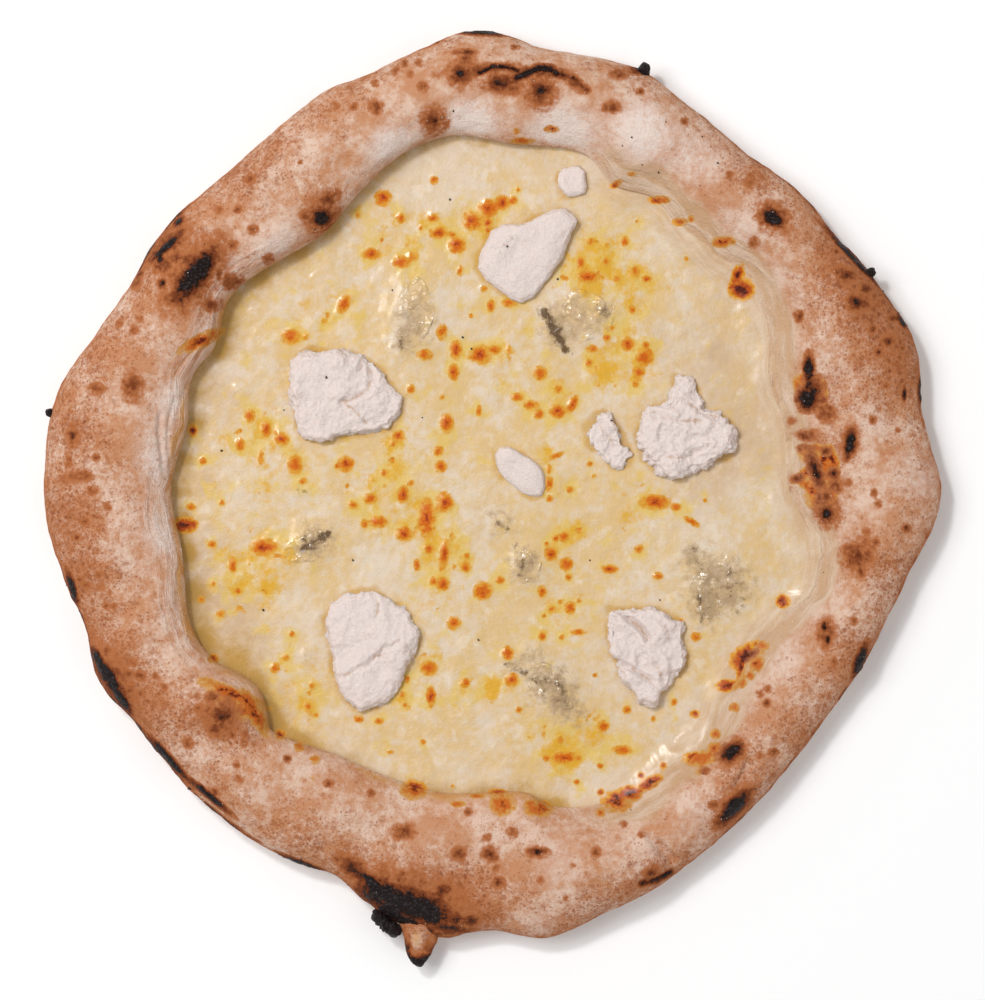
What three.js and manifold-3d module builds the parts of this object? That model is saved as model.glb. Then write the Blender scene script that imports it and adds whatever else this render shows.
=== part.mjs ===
// A whole four cheese pizza: a hand-stretched base with its puffed rim, one pool of melted
// cheese, crumbled white curd on top and lumps of blue cheese half sunk in the melt.
// Millimetres, +Z up. The pizza rests on z = 0 and the origin is under the middle of its box.

import * as THREE from 'three';
import { mergeVertices } from 'three/addons/utils/BufferGeometryUtils.js';
import Module from 'manifold-3d';

const wasm = await Module();
wasm.setup();

// ---------------------------------------------------------------- driving dimensions
// Angles are degrees counter-clockwise from +X, lengths are millimetres.

const SEGMENTS = 120; // columns round the base, the rim and the cheese
const FIT_GAP = 0.35; // clearance between pieces that touch

// The base and its rim.
const BASE_THICKNESS = 3;
const FOOT_INSET = 11; // the rim lifts off the table this far inside its outer edge
const GIRTH_HEIGHT = 9.5; // height of the rim's widest line
const OVERHANG = 3.6; // how far the rim's lip leans over the cheese
const LIP_HEIGHT = 13; // height of the lip's nose
const SLOPE_FOOT_HEIGHT = 8.7; // where the rim without a lip runs down into the cheese
const SLOPE_TUCK = -0.9; // the lipless slope goes on inwards under the cheese
const WALL_TOP = 8.2; // top of the basin's wall
const WALL_BEND = { inset: 1.5, height: 5.6 };
const WALL_FOOT_INSET = 5;

// The pizza's outline and the border between rim and cheese, as [angle, radius].
const OUTER_EDGE = [
  [0, 159.9], [7, 157.6], [12, 156.2], [19, 160.5], [27, 158.8], [37, 154.1], [45, 155],
  [54, 153.4], [64, 157.5], [71, 161.8], [84, 162.4], [88, 165.5], [93, 167.3], [98.5, 163.3],
  [107, 158], [112, 157.6], [118, 154.1], [129, 150.4], [141, 151.6], [149, 150.3], [157, 153.2],
  [166, 159.7], [177, 160.2], [184, 158.7], [190, 155.4], [197, 152.4], [204, 154.4],
  [213, 149.9], [224, 149.2], [238, 147.8], [247, 145.3], [252, 149.6], [258, 154.6],
  [264, 157], [267, 154.4], [271, 153.7], [277, 157.2], [285, 153], [293, 150.3],
  [299, 147.1], [312, 143.5], [326, 141.8], [339, 145.5], [350, 150.6],
];
const INNER_EDGE = [
  [2, 106], [14, 107.4], [24, 108], [33, 116.7], [42, 119], [48, 115.6], [56, 118.3],
  [62, 122], [69, 120.4], [75, 127.4], [87, 127], [96, 130.4], [104, 127.6], [113, 119.6],
  [122, 112.4], [131, 113.6], [142, 118], [151, 112.9], [158, 115.2], [166, 112],
  [178, 114.3], [190, 111.8], [203, 116.1], [210, 114], [215, 108.6], [219.5, 107.2],
  [223, 110], [226, 113.6], [231, 110.6], [238, 106.6], [246, 105.4], [258, 106],
  [271, 103.8], [277, 105], [281, 111], [290, 115.2], [297, 115.8], [303, 113.4],
  [312, 112], [322, 106.6], [331, 106], [338, 110.2], [345, 116.3], [352, 115.5],
];

// How the rim changes on its way round, as [angle, value].
const CREST_HEIGHT = [
  [0, 20.5], [30, 21.5], [60, 21.5], [90, 24], [120, 25], [150, 26], [185, 25], [215, 25],
  [240, 23], [262, 21.5], [280, 23], [305, 20.5], [335, 20],
];
const CREST_SHARE = [ // place of the crest between the inner edge (0) and the outer edge (1)
  [0, 0.6], [35, 0.6], [80, 0.55], [120, 0.5], [180, 0.5], [220, 0.48], [270, 0.52],
  [310, 0.56], [335, 0.6],
];
const LIP_SHARE = [ // 1 where the rim leans over the cheese, 0 where it runs down into it
  [0, 0], [40, 0], [62, 0.3], [84, 0.75], [105, 1], [150, 1], [200, 1], [228, 0.95],
  [250, 0.75], [276, 1], [288, 0.45], [308, 0.1], [335, 0],
];

// Bubbles and dents of the rim: place, length, width, turn of the length, rise.
const RIM_MOUNDS = [
  { x: -106, y: 80, length: 24, width: 12, turn: 52, rise: 2.6 }, // burst black blister
  { x: -75, y: 90, length: 14, width: 12, turn: 0, rise: 1.6 }, // thin bubble over the cheese
  { x: -93, y: -72, length: 24, width: 22, turn: 0, rise: 3.4 }, // bulge over the cheese
  { x: 14, y: 151, length: 34, width: 9, turn: -4, rise: 1.8 }, // split and burnt roll
  { x: -127, y: 20, length: 30, width: 22, turn: 80, rise: 1.4 },
  { x: -60, y: 128, length: 26, width: 20, turn: 25, rise: 1.2 },
  { x: 128, y: 62, length: 38, width: 24, turn: -60, rise: 1.5 },
  { x: 136, y: -22, length: 30, width: 20, turn: 85, rise: 1.3 },
  { x: 30, y: -132, length: 34, width: 22, turn: 10, rise: 1.5 },
  { x: 86, y: -107, length: 12, width: 7, turn: 45, rise: 1.4 }, // burnt blister
  { x: 61, y: -125, length: 17, width: 5, turn: -54, rise: -2.2 }, // fold between two rolls
  { x: 90, y: -97, length: 14, width: 5, turn: 66, rise: -1.2 }, // crease
];
const RIM_UNEVENNESS = 0.7;

// Pieces that stand out of the rim's edge: place, half sizes, turn of the length.
const EDGE_BLISTER = { x: -38.6, y: -150.6, z: 9.5, half: [5.8, 5.4, 6], turn: 20 };
const EDGE_SPIKE = { x: -25.6, y: -151.2, z: 9, half: [8.2, 16.1, 6], turn: -3, taper: 0.34 };
const EDGE_NUBS = [
  { angle: 70.6, radius: 162.2, half: [3.4, 2.6, 3] },
  { angle: 31, radius: 156.8, half: [2.4, 2, 2.4] },
  { angle: 168.8, radius: 160.6, half: [2, 1.8, 2] },
  { angle: 223.6, radius: 147.2, half: [2.6, 1.8, 2.4] },
];
const NUB_HEIGHT = 12;

// The melted cheese.
const CHEESE = { floor: BASE_THICKNESS + FIT_GAP, top: 7.3, edge: 7.5, crown: 0.5, swell: 0.32 };
const CHEESE_RINGS = [0.95, 0.86, 0.74, 0.6, 0.44, 0.26]; // shares of the way to the edge
const CHEESE_SIDE = { edge: 0.85, bend: 2.05, foot: 5.15 }; // insets from the basin's wall

// Toppings lie with their undersides in the melt.
const TOPPING_FLOOR = 4.6;
const TOPPING_SEGMENTS = 22;
const PIT_FIT = 0.45; // how much wider a topping's pit in the cheese is, all round

// White curd, torn by hand: place, height, slant of its top and outline as [angle, radius].
const CURDS = [
  {
    name: 'curd_top_slab', x: 12.4, y: 88, top: 12.6, slant: [0.03, 0.05],
    outline: [[13, 14.6], [27, 19.6], [42, 24.3], [54, 18.8], [72, 14.3], [89, 11], [119, 11.3],
      [138, 14.8], [170, 15.7], [199, 18.7], [236, 16.3], [264, 18.2], [287, 14.2], [317, 11.6],
      [340, 12.3]],
  },
  {
    name: 'curd_left_lump', x: -53.4, y: 37.1, top: 12.8, slant: [-0.03, 0.02],
    outline: [[5, 21.4], [21, 16.8], [51, 16], [64, 16.8], [80, 15.2], [119, 18.6], [140, 22.2],
      [160, 20], [190, 17.9], [230, 20.2], [251, 17], [275, 14.2], [301, 15.6], [330, 21.1],
      [350, 22.5]],
  },
  {
    name: 'curd_lower_left_slab', x: -43.7, y: -52.5, top: 12.2, slant: [0.02, 0.03],
    outline: [[2, 18.1], [19, 20.2], [33, 18.3], [46, 20.4], [60, 17.6], [88, 20.4], [110, 21],
      [127, 21.6], [153, 18.2], [185, 14.6], [205, 14.6], [235, 19], [260, 24.4], [282, 21.4],
      [317, 16.8], [333, 13.8], [349, 15.4]],
  },
  {
    name: 'curd_lower_right_fold', x: 54.9, y: -53.8, top: 13.2, slant: [-0.02, 0.04],
    outline: [[16, 14.2], [36, 15.8], [58, 14.8], [75, 15.8], [95, 15.1], [117, 15.8],
      [135, 20], [154, 15.6], [177, 13.6], [191, 10.6], [219, 11.8], [242, 14.9], [264, 18.6],
      [284, 20.3], [298, 13.4], [320, 14.2], [342, 15]],
  },
  {
    name: 'curd_right_crumble', x: 68.1, y: 24.3, top: 12.8, slant: [0.02, -0.02],
    outline: [[2, 17.6], [13, 15.4], [26, 15.8], [44, 11], [60, 11], [68, 17.6], [90, 19.7],
      [102, 19.8], [117, 12.8], [140, 14.9], [175, 16.4], [196, 16.8], [231, 17.2], [258, 17],
      [281, 14], [305, 14.6], [333, 17.3], [350, 20]],
  },
  {
    name: 'curd_small_crumble', x: 41.5, y: 20.8, top: 10.8, slant: [0, 0.03],
    outline: [[6, 5], [57, 6.6], [96, 10.7], [120, 10.1], [163, 9.2], [201, 6.6], [253, 6.4],
      [285, 10], [316, 10.4], [336, 8]],
  },
  {
    name: 'curd_middle_drop', x: 9.8, y: 10.3, top: 10.6, slant: [0.02, 0.04],
    outline: [[0, 8.2], [40, 6.2], [85, 6.4], [135, 11.6], [165, 8.8], [215, 6], [260, 6.6],
      [312, 12], [340, 9.6]],
  },
  {
    name: 'curd_top_drop', x: 28.3, y: 114.4, top: 10.2, slant: [0, -0.02],
    outline: [[0, 4.9], [50, 5.6], [100, 5], [150, 5.4], [200, 5], [250, 6], [310, 6.6]],
  },
];
const CURD_CRUMBLE = 0.55;

// Blue cheese, half melted: place, length, width, turn of the length, height.
const BLUE_LUMPS = [
  { name: 'blue_upper', x: 30.6, y: 66.2, length: 26, width: 19, turn: -8, top: 9.6 },
  { name: 'blue_upper_left', x: -27.6, y: 67.2, length: 25, width: 14, turn: 84, top: 9.2 },
  { name: 'blue_lower', x: 21.4, y: -66.4, length: 23, width: 14, turn: -38, top: 9.3 },
  { name: 'blue_right', x: 80.3, y: -30.6, length: 27, width: 19, turn: 74, top: 9.4 },
  { name: 'blue_left', x: -66, y: -16.6, length: 18, width: 11, turn: 28, top: 9.1 },
  { name: 'blue_middle', x: 12.2, y: -23.8, length: 13, width: 11, turn: 60, top: 9.1 },
];

// ---------------------------------------------------------------- small tools

const radians = THREE.MathUtils.degToRad;
const mix = THREE.MathUtils.lerp;

/** A smooth closed curve of a value against the angle, through [angle, value] knots. */
function ringCurve(knots) {
  const count = knots.length;
  const knot = (k) => {
    const turns = Math.floor(k / count);
    const [angle, value] = knots[k - turns * count];
    return [angle + 360 * turns, value];
  };
  const slope = (k) => {
    const [before, after] = [knot(k - 1), knot(k + 1)];
    return (after[1] - before[1]) / (after[0] - before[0]);
  };
  return (angle) => {
    const turned = THREE.MathUtils.euclideanModulo(angle - knots[0][0], 360) + knots[0][0];
    let k = 0;
    while (knot(k + 1)[0] <= turned) {
      k += 1;
    }
    const [start, from] = knot(k);
    const [end, to] = knot(k + 1);
    const span = end - start;
    const t = (turned - start) / span;
    const hermite = (2 * t ** 3 - 3 * t ** 2 + 1) * from + (3 * t ** 2 - 2 * t ** 3) * to;
    return hermite + span * t * (1 - t) * ((1 - t) * slope(k) - t * slope(k + 1));
  };
}

/** The height that an oval mound adds at a place. */
function moundAt(mound, x, y) {
  const turn = radians(mound.turn);
  const [dx, dy] = [x - mound.x, y - mound.y];
  const along = (dx * Math.cos(turn) + dy * Math.sin(turn)) / (mound.length / 2);
  const across = (dy * Math.cos(turn) - dx * Math.sin(turn)) / (mound.width / 2);
  return mound.rise * Math.exp(-(along ** 2 + across ** 2));
}

/** A lathe body whose section changes with the angle. sectionAt gives [radius, height] rows. */
function ringBody(segments, sectionAt) {
  const rows = sectionAt(0).length;
  const profile = Array.from({ length: rows }, (_, row) => new THREE.Vector2(1, row));
  const geometry = new THREE.LatheGeometry(profile, segments);
  const position = geometry.attributes.position;
  for (let column = 0; column <= segments; column += 1) {
    const angle = (360 * (column % segments)) / segments;
    const [cosine, sine] = [Math.cos(radians(angle)), Math.sin(radians(angle))];
    sectionAt(angle).forEach(([radius, height], row) => {
      position.setXYZ(column * rows + row, radius * cosine, radius * sine, height);
    });
  }
  return geometry;
}

/** A closed three.js geometry as a solid that can be joined and cut. */
function solidOf(geometry) {
  geometry.deleteAttribute('normal');
  geometry.deleteAttribute('uv');
  const welded = mergeVertices(geometry, 1e-4);
  const corners = welded.index.array;
  const triangles = [];
  for (let i = 0; i < corners.length; i += 3) {
    const [a, b, c] = corners.slice(i, i + 3);
    if (a !== b && b !== c && c !== a) {
      triangles.push(a, b, c);
    }
  }
  return new wasm.Manifold(new wasm.Mesh({
    numProp: 3,
    vertProperties: welded.attributes.position.array,
    triVerts: Uint32Array.from(triangles),
  }));
}

/** The named mesh of a solid. */
function meshOf(name, solid, material) {
  const { vertProperties, triVerts } = solid.getMesh();
  const geometry = new THREE.BufferGeometry();
  geometry.setAttribute('position', new THREE.BufferAttribute(vertProperties, 3));
  geometry.setIndex(new THREE.BufferAttribute(triVerts, 1));
  geometry.computeVertexNormals();
  const mesh = new THREE.Mesh(geometry, material);
  mesh.name = name;
  return mesh;
}

/** A sphere stretched to half sizes, turned about Z and set down at a place. */
function pebble(half, turn, place) {
  const geometry = new THREE.IcosahedronGeometry(1, 1);
  geometry.scale(...half);
  geometry.rotateZ(radians(turn));
  geometry.translate(...place);
  return geometry;
}

// ---------------------------------------------------------------- base and rim

const outerEdge = ringCurve(OUTER_EDGE);
const innerEdge = ringCurve(INNER_EDGE);
const crestHeight = ringCurve(CREST_HEIGHT);
const crestShare = ringCurve(CREST_SHARE);
const lipShare = ringCurve(LIP_SHARE);

/** Radius of the basin's wall, which lies back under the lip. */
function wallRadius(angle) {
  return innerEdge(angle) + mix(SLOPE_TUCK, OVERHANG, lipShare(angle));
}

/** Height that bubbles, dents and the dough's unevenness add to the rim. */
function rimRelief(x, y) {
  const uneven = Math.sin(x / 11 + 0.4) * Math.sin(y / 13 + 1.7) + 0.5 * Math.sin((x - y) / 7);
  return RIM_MOUNDS.reduce((sum, mound) => sum + moundAt(mound, x, y), RIM_UNEVENNESS * uneven);
}

/** Section of base and rim at an angle, from the middle of the underside round to the basin. */
function crustSection(angle) {
  const outer = outerEdge(angle);
  const inner = innerEdge(angle);
  const lip = lipShare(angle);
  const crest = mix(inner, outer, crestShare(angle));
  const top = crestHeight(angle);
  const nose = mix(SLOPE_FOOT_HEIGHT, LIP_HEIGHT, lip);
  const wall = wallRadius(angle);
  const section = [[0, 0]];

  const undersideSteps = 3;
  for (let step = 0; step < undersideSteps; step += 1) {
    const turn = (Math.PI / 2) * (step / undersideSteps);
    section.push([outer - FOOT_INSET * (1 - Math.sin(turn)), GIRTH_HEIGHT * (1 - Math.cos(turn))]);
  }
  const flankSteps = 5;
  for (let step = 0; step < flankSteps; step += 1) {
    const turn = (Math.PI / 2) * (step / flankSteps);
    const radius = mix(crest, outer, Math.cos(turn));
    const relief = rimRelief(radius * Math.cos(radians(angle)), radius * Math.sin(radians(angle)));
    section.push([radius, mix(GIRTH_HEIGHT, top, Math.sin(turn)) + relief * Math.sin(turn)]);
  }
  const innerSteps = 6;
  for (let step = 0; step <= innerSteps; step += 1) {
    const share = step / innerSteps;
    const turn = (Math.PI / 2) * share;
    const radius = mix(mix(crest, inner, share), mix(crest, inner, Math.sin(turn)), lip);
    const slope = mix(nose, top, 0.5 + 0.5 * Math.cos(Math.PI * share));
    const bend = mix(nose, top, Math.cos(turn));
    const relief = rimRelief(radius * Math.cos(radians(angle)), radius * Math.sin(radians(angle)));
    const held = 1 - mix(share, Math.sin(turn) ** 3, lip);
    section.push([radius, mix(slope, bend, lip) + relief * held]);
  }
  const lipSteps = 2;
  for (let step = 1; step <= lipSteps; step += 1) {
    const turn = (Math.PI / 2) * (step / lipSteps);
    section.push([mix(wall, inner, Math.cos(turn)), mix(nose, WALL_TOP, Math.sin(turn))]);
  }
  section.push([wall - WALL_BEND.inset, WALL_BEND.height]);
  section.push([wall - WALL_FOOT_INSET, BASE_THICKNESS]);
  section.push([0, BASE_THICKNESS]);
  return section;
}

/** The pointed flap of burnt dough at the bottom edge, thinning to its tip. */
function edgeSpike() {
  const { x, y, z, half, turn, taper } = EDGE_SPIKE;
  const geometry = new THREE.SphereGeometry(1, 14, 10);
  const position = geometry.attributes.position;
  for (let i = 0; i < position.count; i += 1) {
    const reach = Math.max(0, -position.getY(i));
    position.setX(i, position.getX(i) * (1 - taper * reach));
    position.setZ(i, position.getZ(i) * (1 - taper * reach));
  }
  geometry.scale(...half);
  geometry.rotateZ(radians(turn));
  geometry.translate(x, y, z);
  return geometry;
}

function crustSolid() {
  const { x, y, z, half, turn } = EDGE_BLISTER;
  const lumps = EDGE_NUBS.map((nub) => {
    const place = [nub.radius * Math.cos(radians(nub.angle)), nub.radius * Math.sin(radians(nub.angle))];
    return pebble(nub.half, nub.angle, [...place, NUB_HEIGHT]);
  });
  lumps.push(pebble(half, turn, [x, y, z]), edgeSpike());
  return lumps.reduce((dough, lump) => dough.add(solidOf(lump)), solidOf(ringBody(SEGMENTS, crustSection)));
}

// ---------------------------------------------------------------- toppings

/** Radius of an oval against the angle, a little lobed like something half melted. */
function lobedOval({ length, width, turn }) {
  return (angle) => {
    const away = radians(angle - turn);
    const oval = 1 / Math.hypot(Math.cos(away) / (length / 2), Math.sin(away) / (width / 2));
    return oval * (1 + 0.06 * Math.sin(3 * away + length) + 0.04 * Math.sin(5 * away + width));
  };
}

/** A topping's body: radiusAt is its outline, rows are [share of the outline, height]. */
function toppingBody(x, y, radiusAt, rows, reliefAt) {
  const section = (angle) => rows.map(([share, height]) => {
    const radius = share * radiusAt(angle);
    const lift = reliefAt(radius * Math.cos(radians(angle)), radius * Math.sin(radians(angle)), height);
    return [radius, height + lift];
  });
  const geometry = ringBody(TOPPING_SEGMENTS, section);
  geometry.translate(x, y, 0);
  return geometry;
}

/** The pit that a topping sits in, open at the top. */
function pitSolid(x, y, radiusAt) {
  const wider = (angle) => radiusAt(angle) + PIT_FIT;
  const rows = [
    [0, TOPPING_FLOOR - FIT_GAP], [1, TOPPING_FLOOR - FIT_GAP],
    [1, CREST_HEIGHT[0][1]], [0, CREST_HEIGHT[0][1]],
  ];
  return solidOf(toppingBody(x, y, wider, rows, () => 0));
}

function curdSolid({ x, y, top, slant, outline }) {
  const rows = [
    [0, TOPPING_FLOOR], [0.95, TOPPING_FLOOR], [1, TOPPING_FLOOR + 1.2], [0.985, top - 2.2],
    [0.9, top - 0.7], [0.62, top], [0.3, top - 0.2], [0, top],
  ];
  const relief = (dx, dy, height) => {
    const raised = THREE.MathUtils.smoothstep(height, TOPPING_FLOOR + 1.2, top - 0.7);
    const crumble = Math.sin(dx / 2.3 + x) * Math.cos(dy / 2.9 + y) + 0.6 * Math.sin((dx + dy) / 4.1);
    return raised * (slant[0] * dx + slant[1] * dy + CURD_CRUMBLE * crumble);
  };
  return solidOf(toppingBody(x, y, ringCurve(outline), rows, relief));
}

function blueSolid(lump) {
  const { x, y, top } = lump;
  const rows = [
    [0, TOPPING_FLOOR], [0.9, TOPPING_FLOOR], [1, TOPPING_FLOOR + 1.4], [1, CHEESE.top + 0.2],
    [0.86, top - 0.5], [0.55, top], [0, top],
  ];
  const relief = (dx, dy, height) => {
    const raised = THREE.MathUtils.smoothstep(height, CHEESE.top, top);
    return 0.3 * raised * Math.sin(dx / 2.6 + x) * Math.cos(dy / 2.2 + y);
  };
  return solidOf(toppingBody(x, y, lobedOval(lump), rows, relief));
}

// ---------------------------------------------------------------- melted cheese

/** Height of the melt's surface, which humps up a little round the blue cheese. */
function cheeseHeight(x, y) {
  const swell = Math.sin(x / 15 + 0.6) * Math.cos(y / 13 - 0.4) + 0.6 * Math.sin((x + y) / 9 + 1.1);
  const crown = CHEESE.crown * (1 - (x ** 2 + y ** 2) / INNER_EDGE[0][1] ** 2);
  const humps = BLUE_LUMPS.map((lump) => ({
    ...lump, length: lump.length * 1.6, width: lump.width * 1.6, rise: 0.8,
  }));
  const lifted = humps.reduce((sum, hump) => sum + moundAt(hump, x, y), crown);
  return CHEESE.top + lifted + CHEESE.swell * swell;
}

function cheeseSection(angle) {
  const wall = wallRadius(angle);
  const edge = wall - CHEESE_SIDE.edge;
  const rings = CHEESE_RINGS.map((share) => {
    const [x, y] = [edge * share * Math.cos(radians(angle)), edge * share * Math.sin(radians(angle))];
    const free = 1 - THREE.MathUtils.smoothstep(share, 0.7, 1);
    return [edge * share, mix(CHEESE.edge, cheeseHeight(x, y), free)];
  });
  return [
    [0, CHEESE.floor],
    [wall - CHEESE_SIDE.foot, CHEESE.floor],
    [wall - CHEESE_SIDE.bend, WALL_BEND.height + 0.15],
    [edge, CHEESE.edge],
    ...rings,
    [0, cheeseHeight(0, 0)],
  ];
}

function cheeseSolid() {
  const pits = [
    ...CURDS.map(({ x, y, outline }) => pitSolid(x, y, ringCurve(outline))),
    ...BLUE_LUMPS.map((lump) => pitSolid(lump.x, lump.y, lobedOval(lump))),
  ];
  return pits.reduce((melt, pit) => melt.subtract(pit), solidOf(ringBody(SEGMENTS, cheeseSection)));
}

// ---------------------------------------------------------------- the pizza

const crustMaterial = new THREE.MeshStandardMaterial({ color: 0xcf9a70, roughness: 0.85, metalness: 0 });
const cheeseMaterial = new THREE.MeshStandardMaterial({ color: 0xe3c896, roughness: 0.35, metalness: 0 });
const curdMaterial = new THREE.MeshStandardMaterial({ color: 0xe6dcd6, roughness: 0.7, metalness: 0 });
const blueMaterial = new THREE.MeshStandardMaterial({ color: 0xc0b09a, roughness: 0.4, metalness: 0 });

const pizza = new THREE.Group();
pizza.name = 'four_cheese_pizza';
pizza.add(meshOf('crust', crustSolid(), crustMaterial));
pizza.add(meshOf('melted_cheese', cheeseSolid(), cheeseMaterial));
CURDS.forEach((curd) => pizza.add(meshOf(curd.name, curdSolid(curd), curdMaterial)));
BLUE_LUMPS.forEach((lump) => pizza.add(meshOf(lump.name, blueSolid(lump), blueMaterial)));

export default pizza;
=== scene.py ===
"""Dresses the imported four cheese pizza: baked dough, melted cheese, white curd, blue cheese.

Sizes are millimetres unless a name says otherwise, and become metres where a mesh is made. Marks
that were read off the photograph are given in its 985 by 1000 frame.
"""

from __future__ import annotations

import logging
from collections.abc import Callable, Sequence
from dataclasses import dataclass
from enum import Enum

import bpy
import numpy as np
from mathutils.bvhtree import BVHTree
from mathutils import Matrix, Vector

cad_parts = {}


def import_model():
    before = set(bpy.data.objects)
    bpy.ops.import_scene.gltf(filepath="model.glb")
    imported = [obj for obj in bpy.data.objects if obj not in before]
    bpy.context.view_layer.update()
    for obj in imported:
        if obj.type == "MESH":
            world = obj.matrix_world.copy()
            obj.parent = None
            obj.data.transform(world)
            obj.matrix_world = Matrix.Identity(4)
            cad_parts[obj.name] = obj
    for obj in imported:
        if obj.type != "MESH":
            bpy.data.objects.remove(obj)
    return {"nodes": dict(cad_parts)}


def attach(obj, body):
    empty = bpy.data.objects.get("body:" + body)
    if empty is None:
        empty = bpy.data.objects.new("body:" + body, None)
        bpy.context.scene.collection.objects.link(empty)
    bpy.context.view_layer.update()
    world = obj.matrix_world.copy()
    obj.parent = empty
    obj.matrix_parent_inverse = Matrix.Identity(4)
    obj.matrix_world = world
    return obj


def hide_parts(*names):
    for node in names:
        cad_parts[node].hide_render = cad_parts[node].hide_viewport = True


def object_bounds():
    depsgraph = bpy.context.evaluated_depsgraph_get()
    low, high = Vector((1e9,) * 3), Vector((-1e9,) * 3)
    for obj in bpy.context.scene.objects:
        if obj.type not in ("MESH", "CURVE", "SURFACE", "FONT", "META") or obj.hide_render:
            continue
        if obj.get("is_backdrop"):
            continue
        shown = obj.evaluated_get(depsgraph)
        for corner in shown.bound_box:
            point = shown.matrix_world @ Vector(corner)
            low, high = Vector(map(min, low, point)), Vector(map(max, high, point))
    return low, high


log = logging.getLogger("pizza")

MM = 0.001

Array = np.ndarray
Piece = bpy.types.Object
Tree = bpy.types.NodeTree
Material = bpy.types.Material
Triple = tuple[float, float, float]
Colour = Triple
Knots = Sequence[tuple[float, float]]
Mark = tuple[float, float, float, float, float]
Zone = tuple[float, float, float, float]
Trace = Sequence[tuple[float, float]]
Line = tuple[Trace, float, float]


# ---------------- places and curves


@dataclass(frozen=True)
class PhotoFrame:
    """Where a place in the photograph lies on the pizza, seen from straight above."""

    middle_x: float = 492.5
    middle_y: float = 500.0
    pixel: float = 0.356
    plane_height: float = 12.0
    lens: float = 150.0
    sensor: float = 36.0
    pixels_high: float = 1000.0

    @property
    def camera_distance(self) -> float:
        """Distance from the camera to the plane of the pizza's outline, in millimetres."""
        return self.lens / self.sensor * self.pixels_high * self.pixel

    def place(self, x: float, y: float) -> tuple[float, float]:
        """Millimetres on the plane of the outline for a place in the photograph."""
        return (x - self.middle_x) * self.pixel, (self.middle_y - y) * self.pixel

    def seen(self, points: Array) -> tuple[Array, Array]:
        """Photograph coordinates of points on the pizza.

        Args:
            points: places in millimetres, one row each.

        Returns:
            The x and y of each place in the photograph.
        """
        nearer = self.camera_distance / (self.camera_distance - points[..., 2] + self.plane_height)
        x = self.middle_x + points[..., 0] * nearer / self.pixel
        y = self.middle_y - points[..., 1] * nearer / self.pixel
        return x, y


PHOTO = PhotoFrame()


def mix(low: Array | float, high: Array | float, share: Array | float) -> Array | float:
    """The value at a share of the way from low to high."""
    return low + (high - low) * share


def smoothstep(value: Array, low: float, high: float) -> Array:
    """0 below low, 1 above high, and a smooth rise between."""
    share = np.clip((value - low) / (high - low), 0.0, 1.0)
    return share * share * (3.0 - 2.0 * share)


def heading(degrees: Array | float) -> tuple[Array, Array]:
    """Cosine and sine of an angle in degrees."""
    return np.cos(np.radians(degrees)), np.sin(np.radians(degrees))


def polar(points: Array) -> tuple[Array, Array]:
    """Angle in degrees and distance from the upright axis of each place."""
    x, y = points[..., 0], points[..., 1]
    return np.degrees(np.arctan2(y, x)), np.hypot(x, y)


def ring_curve(knots: Knots) -> Callable[[Array], Array]:
    """A smooth closed curve of a value against the angle.

    Args:
        knots: pairs of an angle in degrees and a value, in rising order.

    Returns:
        A function that gives the value at each angle.
    """
    angles, values = np.array(knots, float).T
    before, after = np.roll(angles, 1), np.roll(angles, -1)
    before[0] -= 360.0
    after[-1] += 360.0
    slopes = (np.roll(values, -1) - np.roll(values, 1)) / (after - before)

    def value_at(angle: Array) -> Array:
        """The curve's value.

        Args:
            angle: angles in degrees.

        Returns:
            The value at each angle.
        """
        turned_on = np.mod(np.asarray(angle, float) - angles[0], 360.0) + angles[0]
        k = np.clip(np.searchsorted(angles, turned_on, side="right") - 1, 0, len(angles) - 1)
        following = (k + 1) % len(angles)
        span = after[k] - angles[k]
        t = (turned_on - angles[k]) / span
        blend = (2 * t**3 - 3 * t**2 + 1) * values[k] + (3 * t**2 - 2 * t**3) * values[following]
        return blend + span * t * (1 - t) * ((1 - t) * slopes[k] - t * slopes[following])

    return value_at


class Grain:
    """Smooth random noise in space, the same each run."""

    TABLE = 64
    LATTICE_SHIFT = 17.3
    OCTAVE_SHIFT = 31.7

    def __init__(self, seed: int) -> None:
        """Fills the lattice with seeded random values."""
        generator = np.random.default_rng(seed)
        self.lattice = generator.random((self.TABLE, self.TABLE, self.TABLE)) * 2.0 - 1.0

    def one(self, points: Array, cell: float) -> Array:
        """Noise of a single size.

        Args:
            points: places in millimetres.
            cell: about how wide its lumps are.

        Returns:
            Noise from -1 to 1.
        """
        scaled = points / cell + self.LATTICE_SHIFT
        low = np.floor(scaled).astype(int)
        share = scaled - low
        share = share * share * (3.0 - 2.0 * share)
        total = np.zeros(points.shape[:-1])
        for corner in np.ndindex(2, 2, 2):
            weight = np.ones(points.shape[:-1])
            for axis, side in enumerate(corner):
                weight = weight * (share[..., axis] if side else 1.0 - share[..., axis])
            spot = (low + np.array(corner)) % self.TABLE
            total += weight * self.lattice[spot[..., 0], spot[..., 1], spot[..., 2]]
        return total

    def many(self, points: Array, cell: float, octaves: int, fade: float = 0.5) -> Array:
        """Noise summed over octaves, each half the size of the one before.

        Args:
            points: places in millimetres.
            cell: size of the largest lumps.
            octaves: how many sizes are summed.
            fade: strength of each size against the one before.

        Returns:
            Noise of about -1 to 1.
        """
        total = np.zeros(points.shape[:-1])
        strength, whole = 1.0, 0.0
        for octave in range(octaves):
            total += strength * self.one(points + self.OCTAVE_SHIFT * octave, cell / 2.0**octave)
            whole += strength
            strength *= fade
        return total / whole


# ---------------- marks read off the photo

MARK_REACH = 2.2
MARK_HEIGHT = 0.68
MARK_SWELL = 0.06
MARK_LEAST, MARK_MOST = 0.78, 1.08
FAR_AWAY = 1e9


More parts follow.
